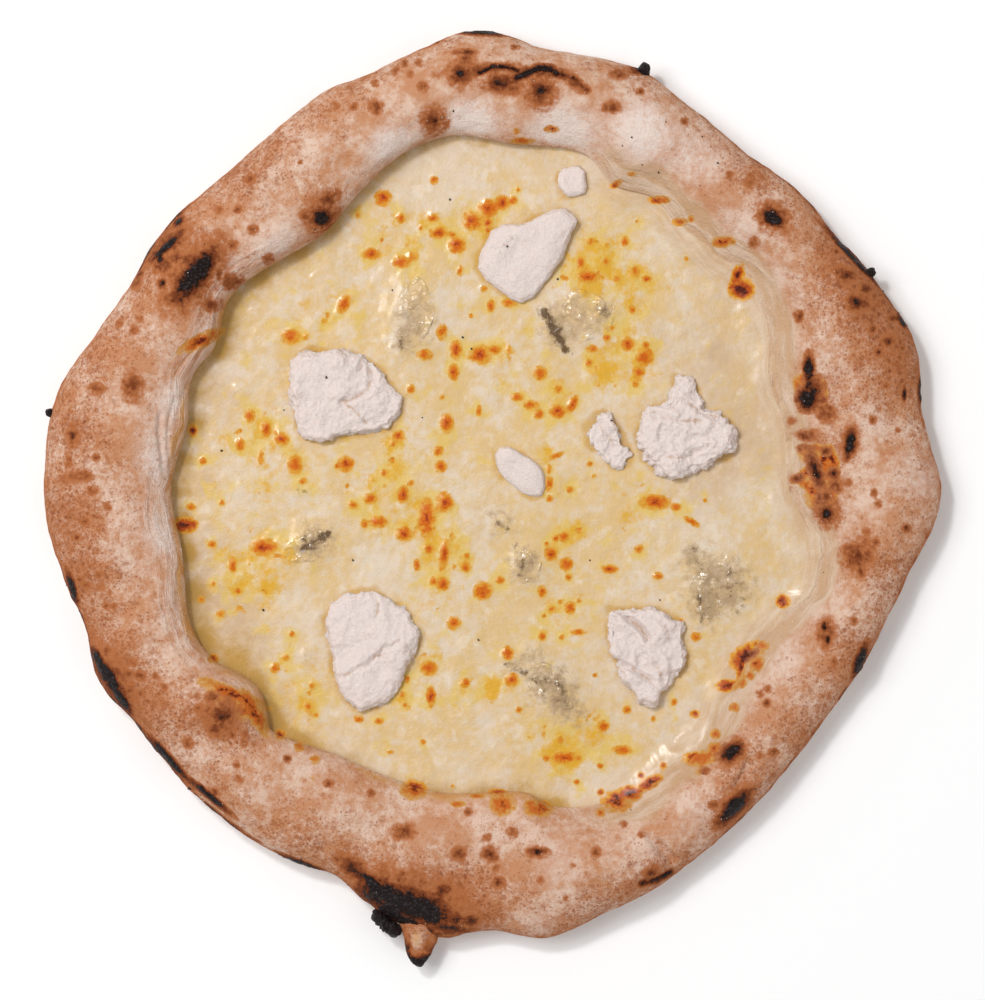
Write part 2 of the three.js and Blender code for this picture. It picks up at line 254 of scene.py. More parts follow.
def mark_field(x: Array, y: Array, marks: Sequence[Mark]) -> Array:
    """How near each place is to the closest of the oval marks.

    Args:
        x: photograph x of each place.
        y: photograph y of each place.
        marks: x, y, half length, half width and turn in degrees of each mark.

    Returns:
        About 1 in the middle of a mark, half on its border and 0 at 2.2 times its size.
    """
    field = np.zeros(x.shape)
    for mark_x, mark_y, half_length, half_width, turn in marks:
        near = np.abs(x - mark_x) + np.abs(y - mark_y) < 1.5 * MARK_REACH * half_length + 3.0
        dx, dy = x[near] - mark_x, mark_y - y[near]
        cosine, sine = heading(turn)
        along = (dx * cosine + dy * sine) / half_length
        across = (dy * cosine - dx * sine) / half_width
        height = MARK_HEIGHT + MARK_SWELL * np.sqrt(half_length * half_width)
        strength = np.clip(height, MARK_LEAST, MARK_MOST) - np.hypot(along, across) / MARK_REACH
        field[near] = np.maximum(field[near], strength)
    return field


def zone_field(x: Array, y: Array, zones: Sequence[Zone]) -> Array:
    """The sum of soft round zones, each given by x, y, radius and strength."""
    each = (s * np.exp(-((x - zx) ** 2 + (y - zy) ** 2) / r**2) for zx, zy, r, s in zones)
    return sum(each, np.zeros(x.shape))


def trace_field(x: Array, y: Array, trace: Trace, half_width: float) -> Array:
    """1 on a line through the given places, falling to 0 at its half width.

    Args:
        x: photograph x of each place.
        y: photograph y of each place.
        trace: the places that the line runs through.
        half_width: where the field reaches 0, in pixels.

    Returns:
        The field at each place.
    """
    nearest = np.full(x.shape, FAR_AWAY)
    for (x0, y0), (x1, y1) in zip(trace, trace[1:]):
        length = (x1 - x0) ** 2 + (y1 - y0) ** 2
        share = np.clip(((x - x0) * (x1 - x0) + (y - y0) * (y1 - y0)) / length, 0.0, 1.0)
        away = np.hypot(x - x0 - share * (x1 - x0), y - y0 - share * (y1 - y0))
        nearest = np.minimum(nearest, away)
    return np.clip(1.0 - nearest / half_width, 0.0, 1.0)


def lines_field(x: Array, y: Array, lines: Sequence[Line], widened: float) -> Array:
    """The strongest of several lines at each place.

    Args:
        x: photograph x of each place.
        y: photograph y of each place.
        lines: the trace, half width in pixels and strength of each line.
        widened: how many times its half width each line reaches.

    Returns:
        The field, 0 away from the lines.
    """
    field = np.zeros(x.shape)
    for trace, half_width, strength in lines:
        field = np.maximum(field, strength * trace_field(x, y, trace, widened * half_width))
    return field


def dots(*places: tuple[float, ...]) -> tuple[Mark, ...]:
    """Full marks from short forms.

    Args:
        places: x, y and radius of each, or x, y, half length, half width and a turn if it has one.

    Returns:
        The marks.
    """
    full = []
    for x, y, half_length, *rest in places:
        half_width, turn = (*rest, 0.0)[:2] if rest else (half_length, 0.0)
        full.append((x, y, half_length, half_width, turn))
    return tuple(full)


# Burnt black places of the rim.
CHARRED = dots(
    (195, 275, 25, 9, 53), (160, 259, 4), (162, 283, 4), (322, 217, 7), (773, 218, 9, 6, -35),
    (809, 367, 10, 4, 90), (807, 398, 9, 7, 90), (850, 443, 11, 4, 80), (827, 513, 5),
    (796, 478, 6, 4, 20), (732, 752, 9, 6, 40), (734, 807, 17, 6, 47), (824, 627, 5, 3, 90),
    (828, 639, 5, 3, 90), (860, 661, 13, 4, 70), (109, 678, 24, 5.5, -58), (98, 660, 12, 4, -60),
    (122, 700, 12, 4, -55), (166, 247, 15, 3, 42), (178, 222, 6, 3, 45), (168, 758, 24, 3, -48),
    (72, 588, 14, 3, -74), (904, 394, 7, 2, 90), (921, 390, 12, 2.5, 88), (853, 258, 30, 2.2, -47),
    (902, 322, 7, 3, -60), (714, 118, 60, 1.6, -39), (478, 31, 22, 3, -4), (642, 66, 8, 5, 20),
    (746, 656, 9, 4, 30), (412, 905, 34, 12, -20), (380, 893, 18, 11, -20), (430, 916, 12, 6, -30),
    (392, 912, 16, 9, -35), (408, 924, 14, 7, -25), (372, 882, 16, 3, -38), (302, 863, 18, 2, -20),
    (210, 796, 20, 2.4, -40), (404, 950, 5, 3, 60),
)

# Places of the rim that are darker than brown without being black.
DARKENED = dots(
    (461, 74, 8), (500, 83, 11, 7), (541, 91, 9, 8), (434, 120, 6, 5), (847, 276, 7, 5),
    (858, 303, 8, 7), (888, 341, 5), (872, 330, 4), (862, 262, 4), (866, 288, 5), (878, 352, 4),
    (893, 318, 5, 4), (139, 274, 4), (404, 832, 4, 3), (442, 891, 6), (490, 854, 4),
    (538, 852, 7, 4), (652, 872, 6, 4), (834, 473, 5), (826, 451, 5, 4), (812, 392, 12, 8, 80),
    (815, 470, 16, 5, -70), (906, 528, 4), (858, 555, 7, 5, 90), (133, 387, 7, 4, 90),
    (72, 436, 7, 4, 90), (471, 920, 7, 5), (455, 919, 6), (450, 928, 18, 5, -8),
    (355, 870, 16, 7, -40), (420, 930, 20, 5, -10), (498, 882, 4), (212, 304, 5, 4),
    (219, 274, 4, 3, 90), (188, 262, 4), (177, 257, 4), (222, 716, 8, 6), (468, 52, 7, 3),
    (328, 200, 6, 4), (416, 962, 9, 7, 90), (837, 251, 4, 3), (150, 240, 12, 4, 45), (856, 301, 6),
    (741, 289, 8, 6, 90),
)

# Burnt cracks of the rim: the line of each, its half width in pixels and how dark it is.
CHAR_LINES = (
    (((480, 73), (493, 66), (509, 67), (517, 71)), 3.6, 1.3),
    (((517, 78), (527, 73), (538, 68), (551, 69), (557, 74)), 5.0, 1.35),
    (((557, 74), (573, 78), (587, 90)), 5.0, 0.95),
    (((641, 884), (656, 880), (671, 872)), 4.0, 1.2),
    (((810, 372), (808, 386), (808, 398)), 6.0, 1.05),
)

# Streaks where film and dough were scorched red together, given in the same way.
EMBER_LINES = (
    (((794, 480), (804, 474), (814, 470), (822, 462), (828, 450)), 6.0, 1.25),
    (((801, 480), (812, 492), (824, 496), (828, 514)), 6.0, 1.15),
    (((828, 450), (833, 462), (834, 478), (830, 500)), 6.0, 1.2),
    (((820, 384), (822, 396), (818, 404)), 6.0, 1.1),
    (((814, 470), (822, 474), (834, 476)), 5.0, 1.1),
    (((804, 452), (816, 448), (828, 452)), 5.0, 1.0),
    (((220, 690), (232, 690), (244, 698), (254, 710), (260, 722)), 5.0, 1.05),
)

# Toasted brown places of the rim.
BROWNED = dots(
    (195, 275, 34, 17, 53), (163, 262, 10), (135, 282, 6), (177, 257, 8), (188, 262, 8),
    (322, 217, 14), (328, 200, 8), (336, 194, 5), (307, 215, 6), (773, 218, 15, 11, -35),
    (461, 74, 11), (466, 61, 7), (460, 52, 8, 3), (500, 83, 14, 9), (515, 84, 8), (541, 91, 13),
    (574, 84, 10, 4, -40), (434, 120, 11), (515, 47, 5, 3), (405, 63, 4), (419, 63, 4),
    (395, 70, 4), (410, 74, 4), (375, 83, 4), (423, 87, 5), (354, 107, 4), (376, 107, 6),
    (336, 106, 4), (612, 107, 8, 5), (640, 92, 4), (619, 73, 8, 5), (685, 121, 4), (729, 175, 4),
    (749, 183, 5, 4), (750, 175, 3), (754, 243, 5), (250, 179, 5, 4), (300, 162, 3), (219, 210, 4),
    (238, 209, 4), (233, 245, 5), (253, 230, 5), (219, 274, 7, 4, 90), (212, 304, 8, 6),
    (232, 282, 9, 7), (268, 259, 5), (135, 330, 5), (119, 323, 4), (140, 320, 4), (96, 389, 7, 5),
    (133, 387, 12, 8, 90), (72, 436, 9, 5, 90), (68, 460, 7, 4, 90), (96, 457, 4), (80, 476, 10, 5),
    (92, 491, 5), (107, 506, 5, 4), (85, 522, 4), (77, 537, 4), (80, 580, 4), (86, 586, 4),
    (101, 587, 4), (109, 593, 3), (106, 606, 4), (114, 606, 4), (99, 574, 4), (107, 651, 5),
    (133, 663, 5, 4), (129, 674, 4), (140, 676, 5), (140, 694, 4), (164, 687, 4), (156, 676, 4),
    (200, 709, 5), (212, 698, 6), (222, 716, 13), (215, 728, 7), (189, 743, 5), (233, 735, 4),
    (245, 734, 4), (244, 743, 4), (236, 765, 4), (239, 779, 4), (215, 793, 5), (287, 759, 4),
    (329, 783, 5, 4), (371, 793, 4), (342, 864, 4), (404, 832, 9, 7), (468, 812, 4), (459, 854, 6),
    (442, 891, 8), (471, 920, 6, 4), (455, 919, 5), (487, 838, 4), (490, 854, 7), (512, 833, 5),
    (538, 852, 9, 5), (496, 868, 4), (498, 882, 6, 5), (541, 880, 4), (566, 898, 3), (573, 865, 3),
    (596, 852, 5), (623, 824, 4), (642, 834, 4), (652, 872, 8, 5), (732, 752, 13, 9, 40),
    (734, 807, 20, 9, 47), (760, 755, 4), (773, 752, 5, 4), (705, 770, 5, 4), (714, 805, 6, 4),
    (834, 663, 6, 3, 90), (760, 694, 4), (768, 689, 4), (767, 703, 4), (821, 386, 5),
    (822, 400, 6, 5), (827, 412, 8), (799, 316, 5), (824, 499, 7), (827, 513, 12), (835, 486, 6),
    (806, 449, 9, 4), (807, 435, 9, 5), (791, 421, 5), (788, 461, 6, 3, 90), (790, 489, 6, 4, 90),
    (847, 279, 6), (841, 272, 6), (856, 301, 8), (837, 251, 5, 3), (890, 339, 5), (898, 430, 3),
    (873, 420, 4), (886, 385, 4), (848, 483, 4), (874, 493, 4), (878, 504, 4), (858, 555, 13),
    (861, 573, 5), (866, 531, 4), (876, 542, 4), (854, 621, 4), (826, 633, 12, 7, 90),
    (109, 678, 34, 14, -58), (166, 244, 24, 10, 42), (400, 905, 52, 28, -15), (741, 289, 11, 8, 90),
    (850, 443, 14, 7, 80), (420, 944, 16, 10, -30), (480, 70, 30, 5, 6), (540, 72, 24, 5, -4),
)

# Dark red and orange marks where melt and dough were scorched together.
SCORCHED = dots(
    (213, 659, 4), (193, 430, 5, 3.5, 90), (185, 525, 8, 5), (413, 790, 8, 6), (458, 804, 6, 2.5),
    (477, 796, 6, 2), (498, 792, 7, 2.5), (503, 804, 8, 7), (539, 809, 9, 5), (531, 803, 5, 3),
    (617, 802, 9, 7), (630, 794, 8, 5), (601, 812, 4), (650, 783, 9, 4, 30), (663, 766, 3),
    (641, 775, 3), (601, 792, 3), (695, 714, 4, 3), (700, 759, 10, 5), (715, 749, 5), (716, 734, 4),
    (734, 708, 4), (728, 686, 8, 4), (742, 670, 7, 4, 90), (747, 656, 11, 7, 30), (756, 663, 6),
    (761, 645, 6, 4), (750, 675, 4), (742, 683, 4), (783, 601, 5), (741, 289, 8, 7),
    (738, 275, 8, 4, 70), (723, 242, 8, 4), (659, 200, 8, 3), (680, 222, 6, 3), (691, 219, 3),
    (616, 184, 6, 2.5, 30), (632, 174, 4, 2), (552, 129, 6, 3), (516, 131, 3), (522, 141, 9, 2.5),
    (201, 341, 15, 4.5, 27), (232, 694, 22, 5, -22), (254, 712, 16, 5, -62), (315, 759, 4),
    (299, 747, 4), (280, 735, 4), (222, 690, 8, 4),
)

# Amber places of the rim where the film of melt has caramelised.
AMBER_ZONES = (
    (799, 384, 7, 0.9), (808, 378, 9, 0.7), (822, 404, 8, 0.7), (800, 396, 6, 0.5),
    (804, 454, 8, 0.7), (814, 486, 12, 0.8), (826, 472, 11, 0.8), (812, 502, 9, 0.6),
    (806, 434, 7, 0.5), (822, 458, 8, 0.6), (830, 500, 8, 0.6), (228, 704, 15, 0.8),
    (212, 690, 8, 0.5), (246, 712, 9, 0.6), (312, 780, 8, 0.3), (700, 770, 8, 0.4),
)

# Wide toasted zones of the rim: x, y, radius and strength. The four small zones near x 185 are
# painted shade on the left inner wall.
TOAST_ZONES = (
    (868, 305, 48, 0.9), (842, 262, 36, 0.6), (897, 360, 36, 0.6), (860, 400, 34, 0.3),
    (815, 395, 26, 0.5), (820, 470, 34, 0.5), (895, 300, 26, 0.3), (862, 555, 24, 0.35),
    (780, 190, 30, 0.25), (195, 275, 44, 0.75), (165, 250, 30, 0.6), (110, 350, 40, 0.4),
    (80, 430, 34, 0.6), (66, 520, 36, 0.55), (90, 590, 40, 0.5), (115, 665, 38, 0.85),
    (160, 715, 36, 0.6), (215, 712, 26, 1.0), (238, 728, 20, 0.7), (240, 770, 30, 0.4),
    (545, 88, 30, 0.15), (345, 110, 36, 0.2), (250, 180, 34, 0.35), (322, 210, 24, 0.85),
    # The zones with negative strength make the top of the rim paler: partly less toast, partly
    # painted light.
    (290, 160, 30, 0.25), (640, 85, 26, 0.35), (735, 180, 30, 0.2), (520, 58, 60, -0.3),
    (620, 100, 50, -0.25), (430, 90, 46, -0.2), (560, 75, 40, -0.15), (410, 905, 42, 0.9),
    (470, 915, 34, 0.6), (350, 850, 34, 0.4), (500, 865, 36, 0.35), (450, 880, 30, 0.5),
    (600, 905, 40, 0.3), (655, 870, 24, 0.5), (735, 800, 32, 0.6), (740, 750, 26, 0.45),
    (800, 720, 34, 0.35), (850, 650, 32, 0.55), (890, 580, 34, 0.35), (300, 820, 36, 0.35),
    # Painted shade: the small zones at x 184 to 186 darken the shaded left inner wall under the
    # lip.
    (120, 490, 40, 0.3), (186, 425, 10, 0.8), (184, 460, 10, 0.8), (184, 500, 10, 0.8),
    (186, 540, 10, 0.7), (88, 545, 34, 0.3),
)

# Pale, floury zones of the rim. The strong ones along the top inner slope, near y 130 to 150, are
# partly flour and partly painted light against the slope's shading.
FLOUR_ZONES = (
    (174, 400, 24, 0.8), (166, 470, 24, 0.85), (172, 540, 24, 0.85), (188, 600, 22, 0.8),
    # Partly painted light: the last zone here and the strong ones on the next line lighten the
    # shaded top inner slope.
    (215, 330, 24, 0.6), (280, 250, 30, 0.8), (330, 190, 22, 0.3), (395, 150, 30, 1.2),
    (470, 128, 32, 1.4), (560, 135, 34, 1.4), (640, 130, 36, 1.1), (700, 160, 34, 0.7),
    (745, 230, 34, 0.6), (640, 50, 26, 0.4), (925, 480, 30, 0.5), (890, 470, 34, 0.25),
    (800, 600, 32, 0.5), (780, 660, 34, 0.5), (700, 820, 36, 0.5), (560, 860, 46, 0.5),
    (430, 840, 34, 0.4), (330, 800, 34, 0.3), (260, 790, 22, 0.3), (540, 930, 30, 0.4),
    (150, 440, 30, 0.5), (140, 520, 34, 0.4), (800, 430, 30, 0.35), (413, 938, 7, 1.2),
)

# The film of melt that ran up on the dough, where the rim has no lip.
FILM_ZONES = (
    (760, 300, 26, 0.8), (775, 350, 28, 1.0), (785, 400, 26, 1.0), (783, 450, 22, 0.8),
    (788, 520, 24, 0.9), (800, 565, 26, 1.0), (775, 620, 26, 0.9), (730, 260, 26, 0.8),
    (700, 225, 26, 0.8), (660, 195, 26, 0.7), (615, 170, 24, 0.6), (740, 665, 24, 0.8),
    (700, 715, 26, 0.8), (660, 760, 24, 0.7), (610, 790, 20, 0.6), (213, 345, 12, 0.9),
    (262, 715, 11, 0.9), (182, 560, 9, 0.6), (190, 620, 9, 0.6), (540, 800, 22, 0.7),
    (500, 803, 20, 0.7), (200, 380, 9, 0.4), (240, 690, 12, 0.5),
)

# Golden-brown blisters of the melt.
GOLDEN = dots(
    (383, 198, 7), (358, 215, 3.5), (401, 218, 5), (433, 218, 6, 4), (438, 233, 8, 5),
    (452, 234, 5, 3), (421, 228, 3), (434, 180, 4.5), (472, 221, 8), (488, 209, 8), (502, 203, 6.5),
    (513, 200, 4.5), (518, 190, 3), (488, 222, 5), (488, 230, 3.5), (457, 245, 7), (371, 254, 8, 5),
    (382, 240, 3), (413, 257, 6, 4), (402, 262, 8, 5), (460, 271, 6, 3, 90), (484, 289, 4),
    (491, 306, 6, 4, 90), (509, 303, 7, 4), (471, 316, 3), (344, 304, 8, 5, 60), (291, 337, 8, 6),
    (306, 337, 3.5), (324, 321, 3), (442, 332, 7, 5, 90), (456, 350, 8, 5, 90), (480, 355, 9, 8),
    (494, 350, 7, 4), (509, 350, 6, 3, 90), (425, 355, 7, 5), (454, 372, 7, 5, 90), (540, 373, 6),
    (558, 389, 4.5), (531, 405, 7, 4.5), (558, 411, 7, 6), (517, 397, 6, 4), (539, 414, 5),
    (591, 242, 4), (607, 245, 3), (625, 242, 6, 3.5, 90), (635, 272, 5), (647, 279, 5, 4),
    (588, 277, 9, 5), (606, 262, 4), (581, 263, 6, 4, 90), (617, 279, 4), (632, 310, 5, 4, 90),
    (612, 328, 3), (607, 338, 4), (628, 344, 6), (592, 349, 6, 4), (645, 357, 7), (646, 345, 4),
    (639, 372, 5.5), (636, 384, 4), (589, 363, 4), (637, 221, 2.5), (686, 259, 3), (442, 397, 3.5),
    (447, 423, 8, 5.5, 90), (439, 451, 5), (441, 467, 5.5), (399, 436, 6, 5), (393, 444, 3.5),
    (411, 389, 5, 4, 90), (479, 411, 6, 3, 90), (346, 464, 6.5), (337, 466, 3.5),
    (295, 465, 8, 6, 90), (282, 439, 6), (266, 430, 8, 4.5, 90), (250, 416, 6, 5, 90),
    (240, 444, 6, 4.5, 90), (203, 461, 4), (261, 458, 7, 3, 90), (303, 481, 5, 3.5), (384, 473, 4),
    (411, 483, 3.5), (373, 480, 3), (347, 486, 3), (403, 495, 8, 5, 90), (370, 499, 6, 5),
    (353, 505, 5, 4), (445, 502, 8, 7, 90), (427, 519, 16, 7, 90), (379, 522, 8, 5),
    (365, 524, 5, 4, 90), (404, 534, 7, 6), (264, 547, 11, 7), (212, 545, 4.5), (222, 503, 3.5),
    (191, 507, 5, 4), (233, 565, 7, 4, 90), (213, 584, 3), (201, 600, 4), (221, 614, 5, 4),
    (238, 591, 5, 3), (429, 549, 5), (444, 556, 12, 4, 80), (467, 556, 3.5), (417, 565, 6, 3.5, 90),
    (466, 567, 5), (443, 584, 6), (433, 581, 5, 3.5, 90), (483, 591, 7.5), (500, 580, 4.5),
    (549, 469, 5, 3, 90), (549, 484, 7, 4, 90), (550, 499, 4), (556, 456, 8, 3, 25),
    (590, 464, 4, 3), (594, 476, 3), (570, 490, 4), (556, 538, 4), (564, 537, 5), (551, 554, 6),
    (566, 564, 6), (547, 544, 3), (609, 569, 8, 4), (639, 549, 4.5), (658, 576, 5.5, 4),
    (655, 502, 13, 6), (676, 507, 5, 4), (692, 522, 9, 3, -32), (705, 501, 3),
    (542, 592, 6, 4.5, 90), (570, 608, 6, 5, 90), (579, 601, 3), (560, 602, 3), (552, 609, 4),
    (544, 616, 3), (578, 632, 8, 3), (562, 637, 3.5), (542, 636, 5, 4, 90), (569, 577, 4),
    (696, 637, 5), (681, 621, 3), (508, 653, 6, 5.5, 90), (512, 680, 6), (454, 623, 6),
    (465, 683, 5), (429, 668, 7, 6), (431, 697, 9, 4, 90), (407, 679, 4.5, 3, 90), (402, 695, 3.5),
    (405, 705, 3), (292, 634, 3.5), (286, 658, 4), (275, 668, 5), (312, 686, 3.5), (308, 706, 4),
    (316, 715, 3), (359, 719, 5, 4), (379, 721, 5, 3.5), (423, 742, 3.5), (390, 752, 5, 2.5),
    (595, 675, 3), (603, 726, 5.5), (627, 710, 4.5), (653, 719, 4, 3, 90), (674, 702, 4),
    (519, 710, 4), (561, 740, 4), (529, 737, 3, 1.5), (623, 750, 9, 4), (565, 758, 10, 5),
    (546, 758, 4), (578, 758, 4), (600, 766, 3.5), (577, 782, 3.5), (453, 786, 3, 2),
    (572, 405, 9, 4, 60),
)

# Yellow, oily patches of the melt.
YELLOW_ZONES = (
    (400, 235, 40, 0.5), (590, 270, 46, 0.9), (640, 300, 34, 0.5), (640, 365, 30, 0.5),
    (600, 370, 26, 0.6), (610, 375, 11, 0.6), (493, 688, 16, 1.2), (470, 700, 22, 0.5),
    (432, 660, 20, 0.6), (624, 521, 13, 0.8), (570, 530, 22, 0.9), (650, 505, 26, 0.5),
    (260, 425, 30, 0.6), (300, 465, 34, 0.4), (380, 500, 36, 0.5), (430, 520, 26, 0.5),
    (455, 560, 34, 0.5), (500, 350, 40, 0.4), (550, 400, 36, 0.4), (445, 430, 26, 0.4),
    (560, 620, 26, 0.5), (565, 730, 34, 0.6), (600, 735, 22, 0.5), (565, 762, 22, 0.6),
    (280, 560, 40, 0.3), (240, 590, 34, 0.3), (480, 235, 34, 0.5), (340, 320, 34, 0.3),
    (400, 700, 26, 0.5), (300, 690, 30, 0.3), (395, 440, 24, 0.5), (620, 480, 20, 0.4),
    (240, 560, 60, 0.4), (300, 300, 60, 0.3), (290, 700, 50, 0.4), (220, 440, 30, 0.4),
    (262, 486, 13, 0.9), (268, 592, 14, 0.6), (290, 555, 9, 0.7), (212, 488, 10, 0.7),
    (395, 470, 12, 0.7), (430, 606, 16, 0.6), (545, 455, 14, 0.5), (362, 210, 12, 0.5),
)

# Pale cream zones and the smooth tan pools between them.
CREAM_ZONES = (
    (430, 170, 50, 0.9), (540, 165, 40, 0.5), (330, 280, 34, 0.3), (700, 540, 50, 0.5),
    (640, 640, 40, 0.3), (470, 775, 40, 0.6), (350, 750, 34, 0.5), (620, 690, 34, 0.4),
    (250, 520, 40, 0.5), (520, 620, 34, 0.3), (380, 570, 40, 0.3), (640, 230, 34, 0.4),
    (300, 600, 34, 0.3), (560, 440, 30, 0.2), (740, 620, 30, 0.4),
)
POOL_ZONES = (
    (740, 440, 44, 1.0), (715, 360, 36, 0.8), (660, 345, 26, 0.5), (700, 490, 34, 0.6),
    (570, 325, 30, 0.7), (415, 320, 26, 0.6), (500, 400, 24, 0.3), (480, 520, 30, 0.4),
    (330, 540, 30, 0.4), (560, 660, 30, 0.4), (720, 570, 34, 0.4), (205, 480, 20, 0.8),
    (215, 400, 32, 0.8), (230, 620, 44, 0.9), (200, 550, 32, 0.9), (250, 670, 30, 0.5),
    (210, 590, 20, 0.5), (275, 700, 26, 0.8), (340, 735, 26, 0.4), (270, 300, 26, 0.4),
    (720, 300, 30, 0.5), (680, 250, 26, 0.4), (790, 560, 22, 0.4), (600, 180, 22, 0.5),
    (195, 440, 14, 0.5), (235, 350, 20, 0.4), (660, 700, 26, 0.3), (560, 790, 20, 0.4),
)

# Brownish hollows of the melt, mostly beside the rim: partly oil staining, partly painted shadow
# where the rim's lip shades the melt.
STAIN_AND_SHADE_ZONES = (
    (276, 728, 18, 0.8), (268, 712, 12, 0.9), (258, 680, 14, 0.5), (240, 662, 13, 0.6),
    (300, 745, 18, 0.6), (200, 590, 12, 0.7), (186, 520, 10, 0.8), (190, 460, 10, 0.7),
    (208, 636, 14, 0.7), (236, 650, 18, 0.4), (210, 608, 14, 0.5), (245, 300, 12, 0.5),
    (188, 490, 10, 0.7), (190, 552, 10, 0.8), (200, 424, 10, 0.6), (212, 388, 11, 0.6),
    (222, 350, 12, 0.7), (232, 326, 12, 0.7), (262, 280, 12, 0.5), (300, 248, 12, 0.5),
    (330, 222, 12, 0.4), (556, 805, 10, 0.7), (590, 690, 8, 0.3), (575, 215, 8, 0.3),
    (240, 640, 22, 0.4), (560, 270, 12, 0.35), (612, 325, 14, 0.3), (690, 640, 8, 0.3),
)

# Lumps under the melt's skin: x, y, radius in pixels and how far they stand up in millimetres.
SUNK_LUMPS = (
    (795, 560, 22, 1.0), (757, 470, 15, 0.7), (665, 480, 10, 0.5), (535, 158, 16, 0.9),
    (558, 152, 12, 0.7), (580, 168, 12, 0.7), (620, 196, 14, 0.7), (655, 215, 12, 0.6),
    (690, 250, 14, 0.6), (715, 290, 12, 0.6), (745, 330, 14, 0.7), (760, 380, 12, 0.6),
    (770, 430, 12, 0.5), (780, 500, 14, 0.6), (720, 640, 12, 0.6), (690, 700, 14, 0.6),
    (640, 745, 12, 0.5), (226, 580, 12, 0.6), (240, 390, 10, 0.4), (430, 780, 14, 0.5),
    (500, 775, 12, 0.5), (330, 750, 10, 0.4), (315, 586, 8, 0.5), (306, 656, 9, 0.5),
)

# Grey haze and dark veins of the blue cheese.
HAZE_ZONES = (
    (557, 330, 18, 0.8), (603, 313, 13, 0.6), (412, 330, 22, 0.5), (552, 690, 24, 0.9),
    (515, 664, 14, 0.6), (575, 716, 16, 0.6), (705, 575, 26, 0.7), (738, 590, 20, 0.7),
    (692, 552, 14, 0.6), (315, 540, 18, 0.8), (303, 492, 8, 0.5), (525, 565, 17, 0.7),
    (500, 522, 18, 0.7), (705, 612, 16, 0.7), (306, 656, 9, 0.5), (536, 656, 10, 0.5),
    (205, 560, 12, 0.2), (402, 348, 9, 0.7),
)

# Veins: the line of each, its half width in pixels and how dark it is.
VEINS = (
    (((544, 311), (551, 322), (556, 334), (566, 350)), 5.0, 1.3),
    (((549, 318), (560, 328), (562, 344)), 3.5, 0.9),
    (((596, 305), (603, 310), (610, 319)), 4.0, 0.8),
    (((400, 340), (403, 350)), 3.5, 0.9),
    (((300, 551), (308, 545), (320, 539), (328, 532)), 5.0, 1.1),
    (((304, 540), (311, 549)), 4.0, 1.0),
    (((505, 663), (514, 668), (526, 673)), 4.0, 0.7),
    (((536, 680), (546, 684), (556, 681), (563, 692)), 6.0, 0.75),
    (((545, 694), (556, 697), (569, 706)), 5.0, 0.6),
    (((498, 523), (505, 528), (513, 531)), 4.5, 0.6),
    (((518, 548), (523, 560), (520, 574)), 5.0, 0.65),
    (((527, 556), (533, 566)), 4.5, 0.55),
    (((694, 548), (698, 562), (706, 574)), 5.0, 0.6),
    (((731, 570), (727, 584), (732, 594)), 5.0, 0.65),
    (((699, 598), (703, 610), (701, 620)), 5.0, 0.8),
    (((738, 586), (744, 594), (738, 611)), 5.0, 0.65),
    (((712, 590), (720, 600)), 4.5, 0.5),
    (((299, 489), (307, 493)), 4.0, 0.6),
    (((410, 300), (416, 322), (411, 338)), 7.0, 0.4),
    (((585, 320), (592, 334)), 6.0, 0.35),
)

# Specks of pepper.
PEPPER = (
    (450, 199), (471, 348), (558, 278), (462, 337), (507, 246), (422, 417), (283, 410), (326, 377),
    (221, 450), (454, 114), (631, 140), (622, 148), (642, 166), (658, 173), (701, 138), (716, 165),
    (665, 124), (392, 290), (612, 420), (352, 560), (478, 640), (590, 560), (660, 600), (262, 610),
)

# Cracks and folds of each curd: the line of each, its half width in pixels and its depth.
CURD_CRACKS = {
    "curd_left_lump": (
        (((342, 402), (350, 399), (359, 395), (368, 389), (373, 380), (372, 371)), 5.0, 1.5),
        (((361, 369), (364, 360), (362, 354)), 4.0, 0.9),
        (((342, 402), (354, 410), (366, 424)), 4.0, 0.5),
    ),
    "curd_lower_left_slab": (
        (((339, 678), (352, 672), (366, 665), (388, 648), (400, 642)), 4.0, 1.0),
        (((372, 590), (378, 604), (376, 618)), 4.0, 0.6),
    ),
    "curd_lower_right_fold": (
        (((622, 610), (629, 618), (636, 624), (644, 632), (648, 640)), 5.0, 3.0),
        (((616, 662), (630, 667), (640, 674), (652, 681)), 5.0, 2.2),
        (((657, 666), (661, 672), (664, 680)), 4.5, 1.4),
        (((662, 622), (668, 630), (670, 640)), 4.5, 0.7),
    ),
    "curd_right_crumble": (
        (((666, 457), (681, 458), (696, 451), (709, 446)), 4.5, 1.2),
        (((654, 412), (669, 416), (684, 421), (700, 420)), 6.0, 1.3),
        (((690, 404), (704, 412), (716, 416)), 5.0, 1.0),
    ),
    "curd_small_crumble": (
        (((598, 424), (606, 436), (614, 446)), 5.0, 0.8),
    ),
    "curd_top_slab": (
        (((494, 248), (506, 244), (512, 238)), 3.0, 0.3),
    ),
}

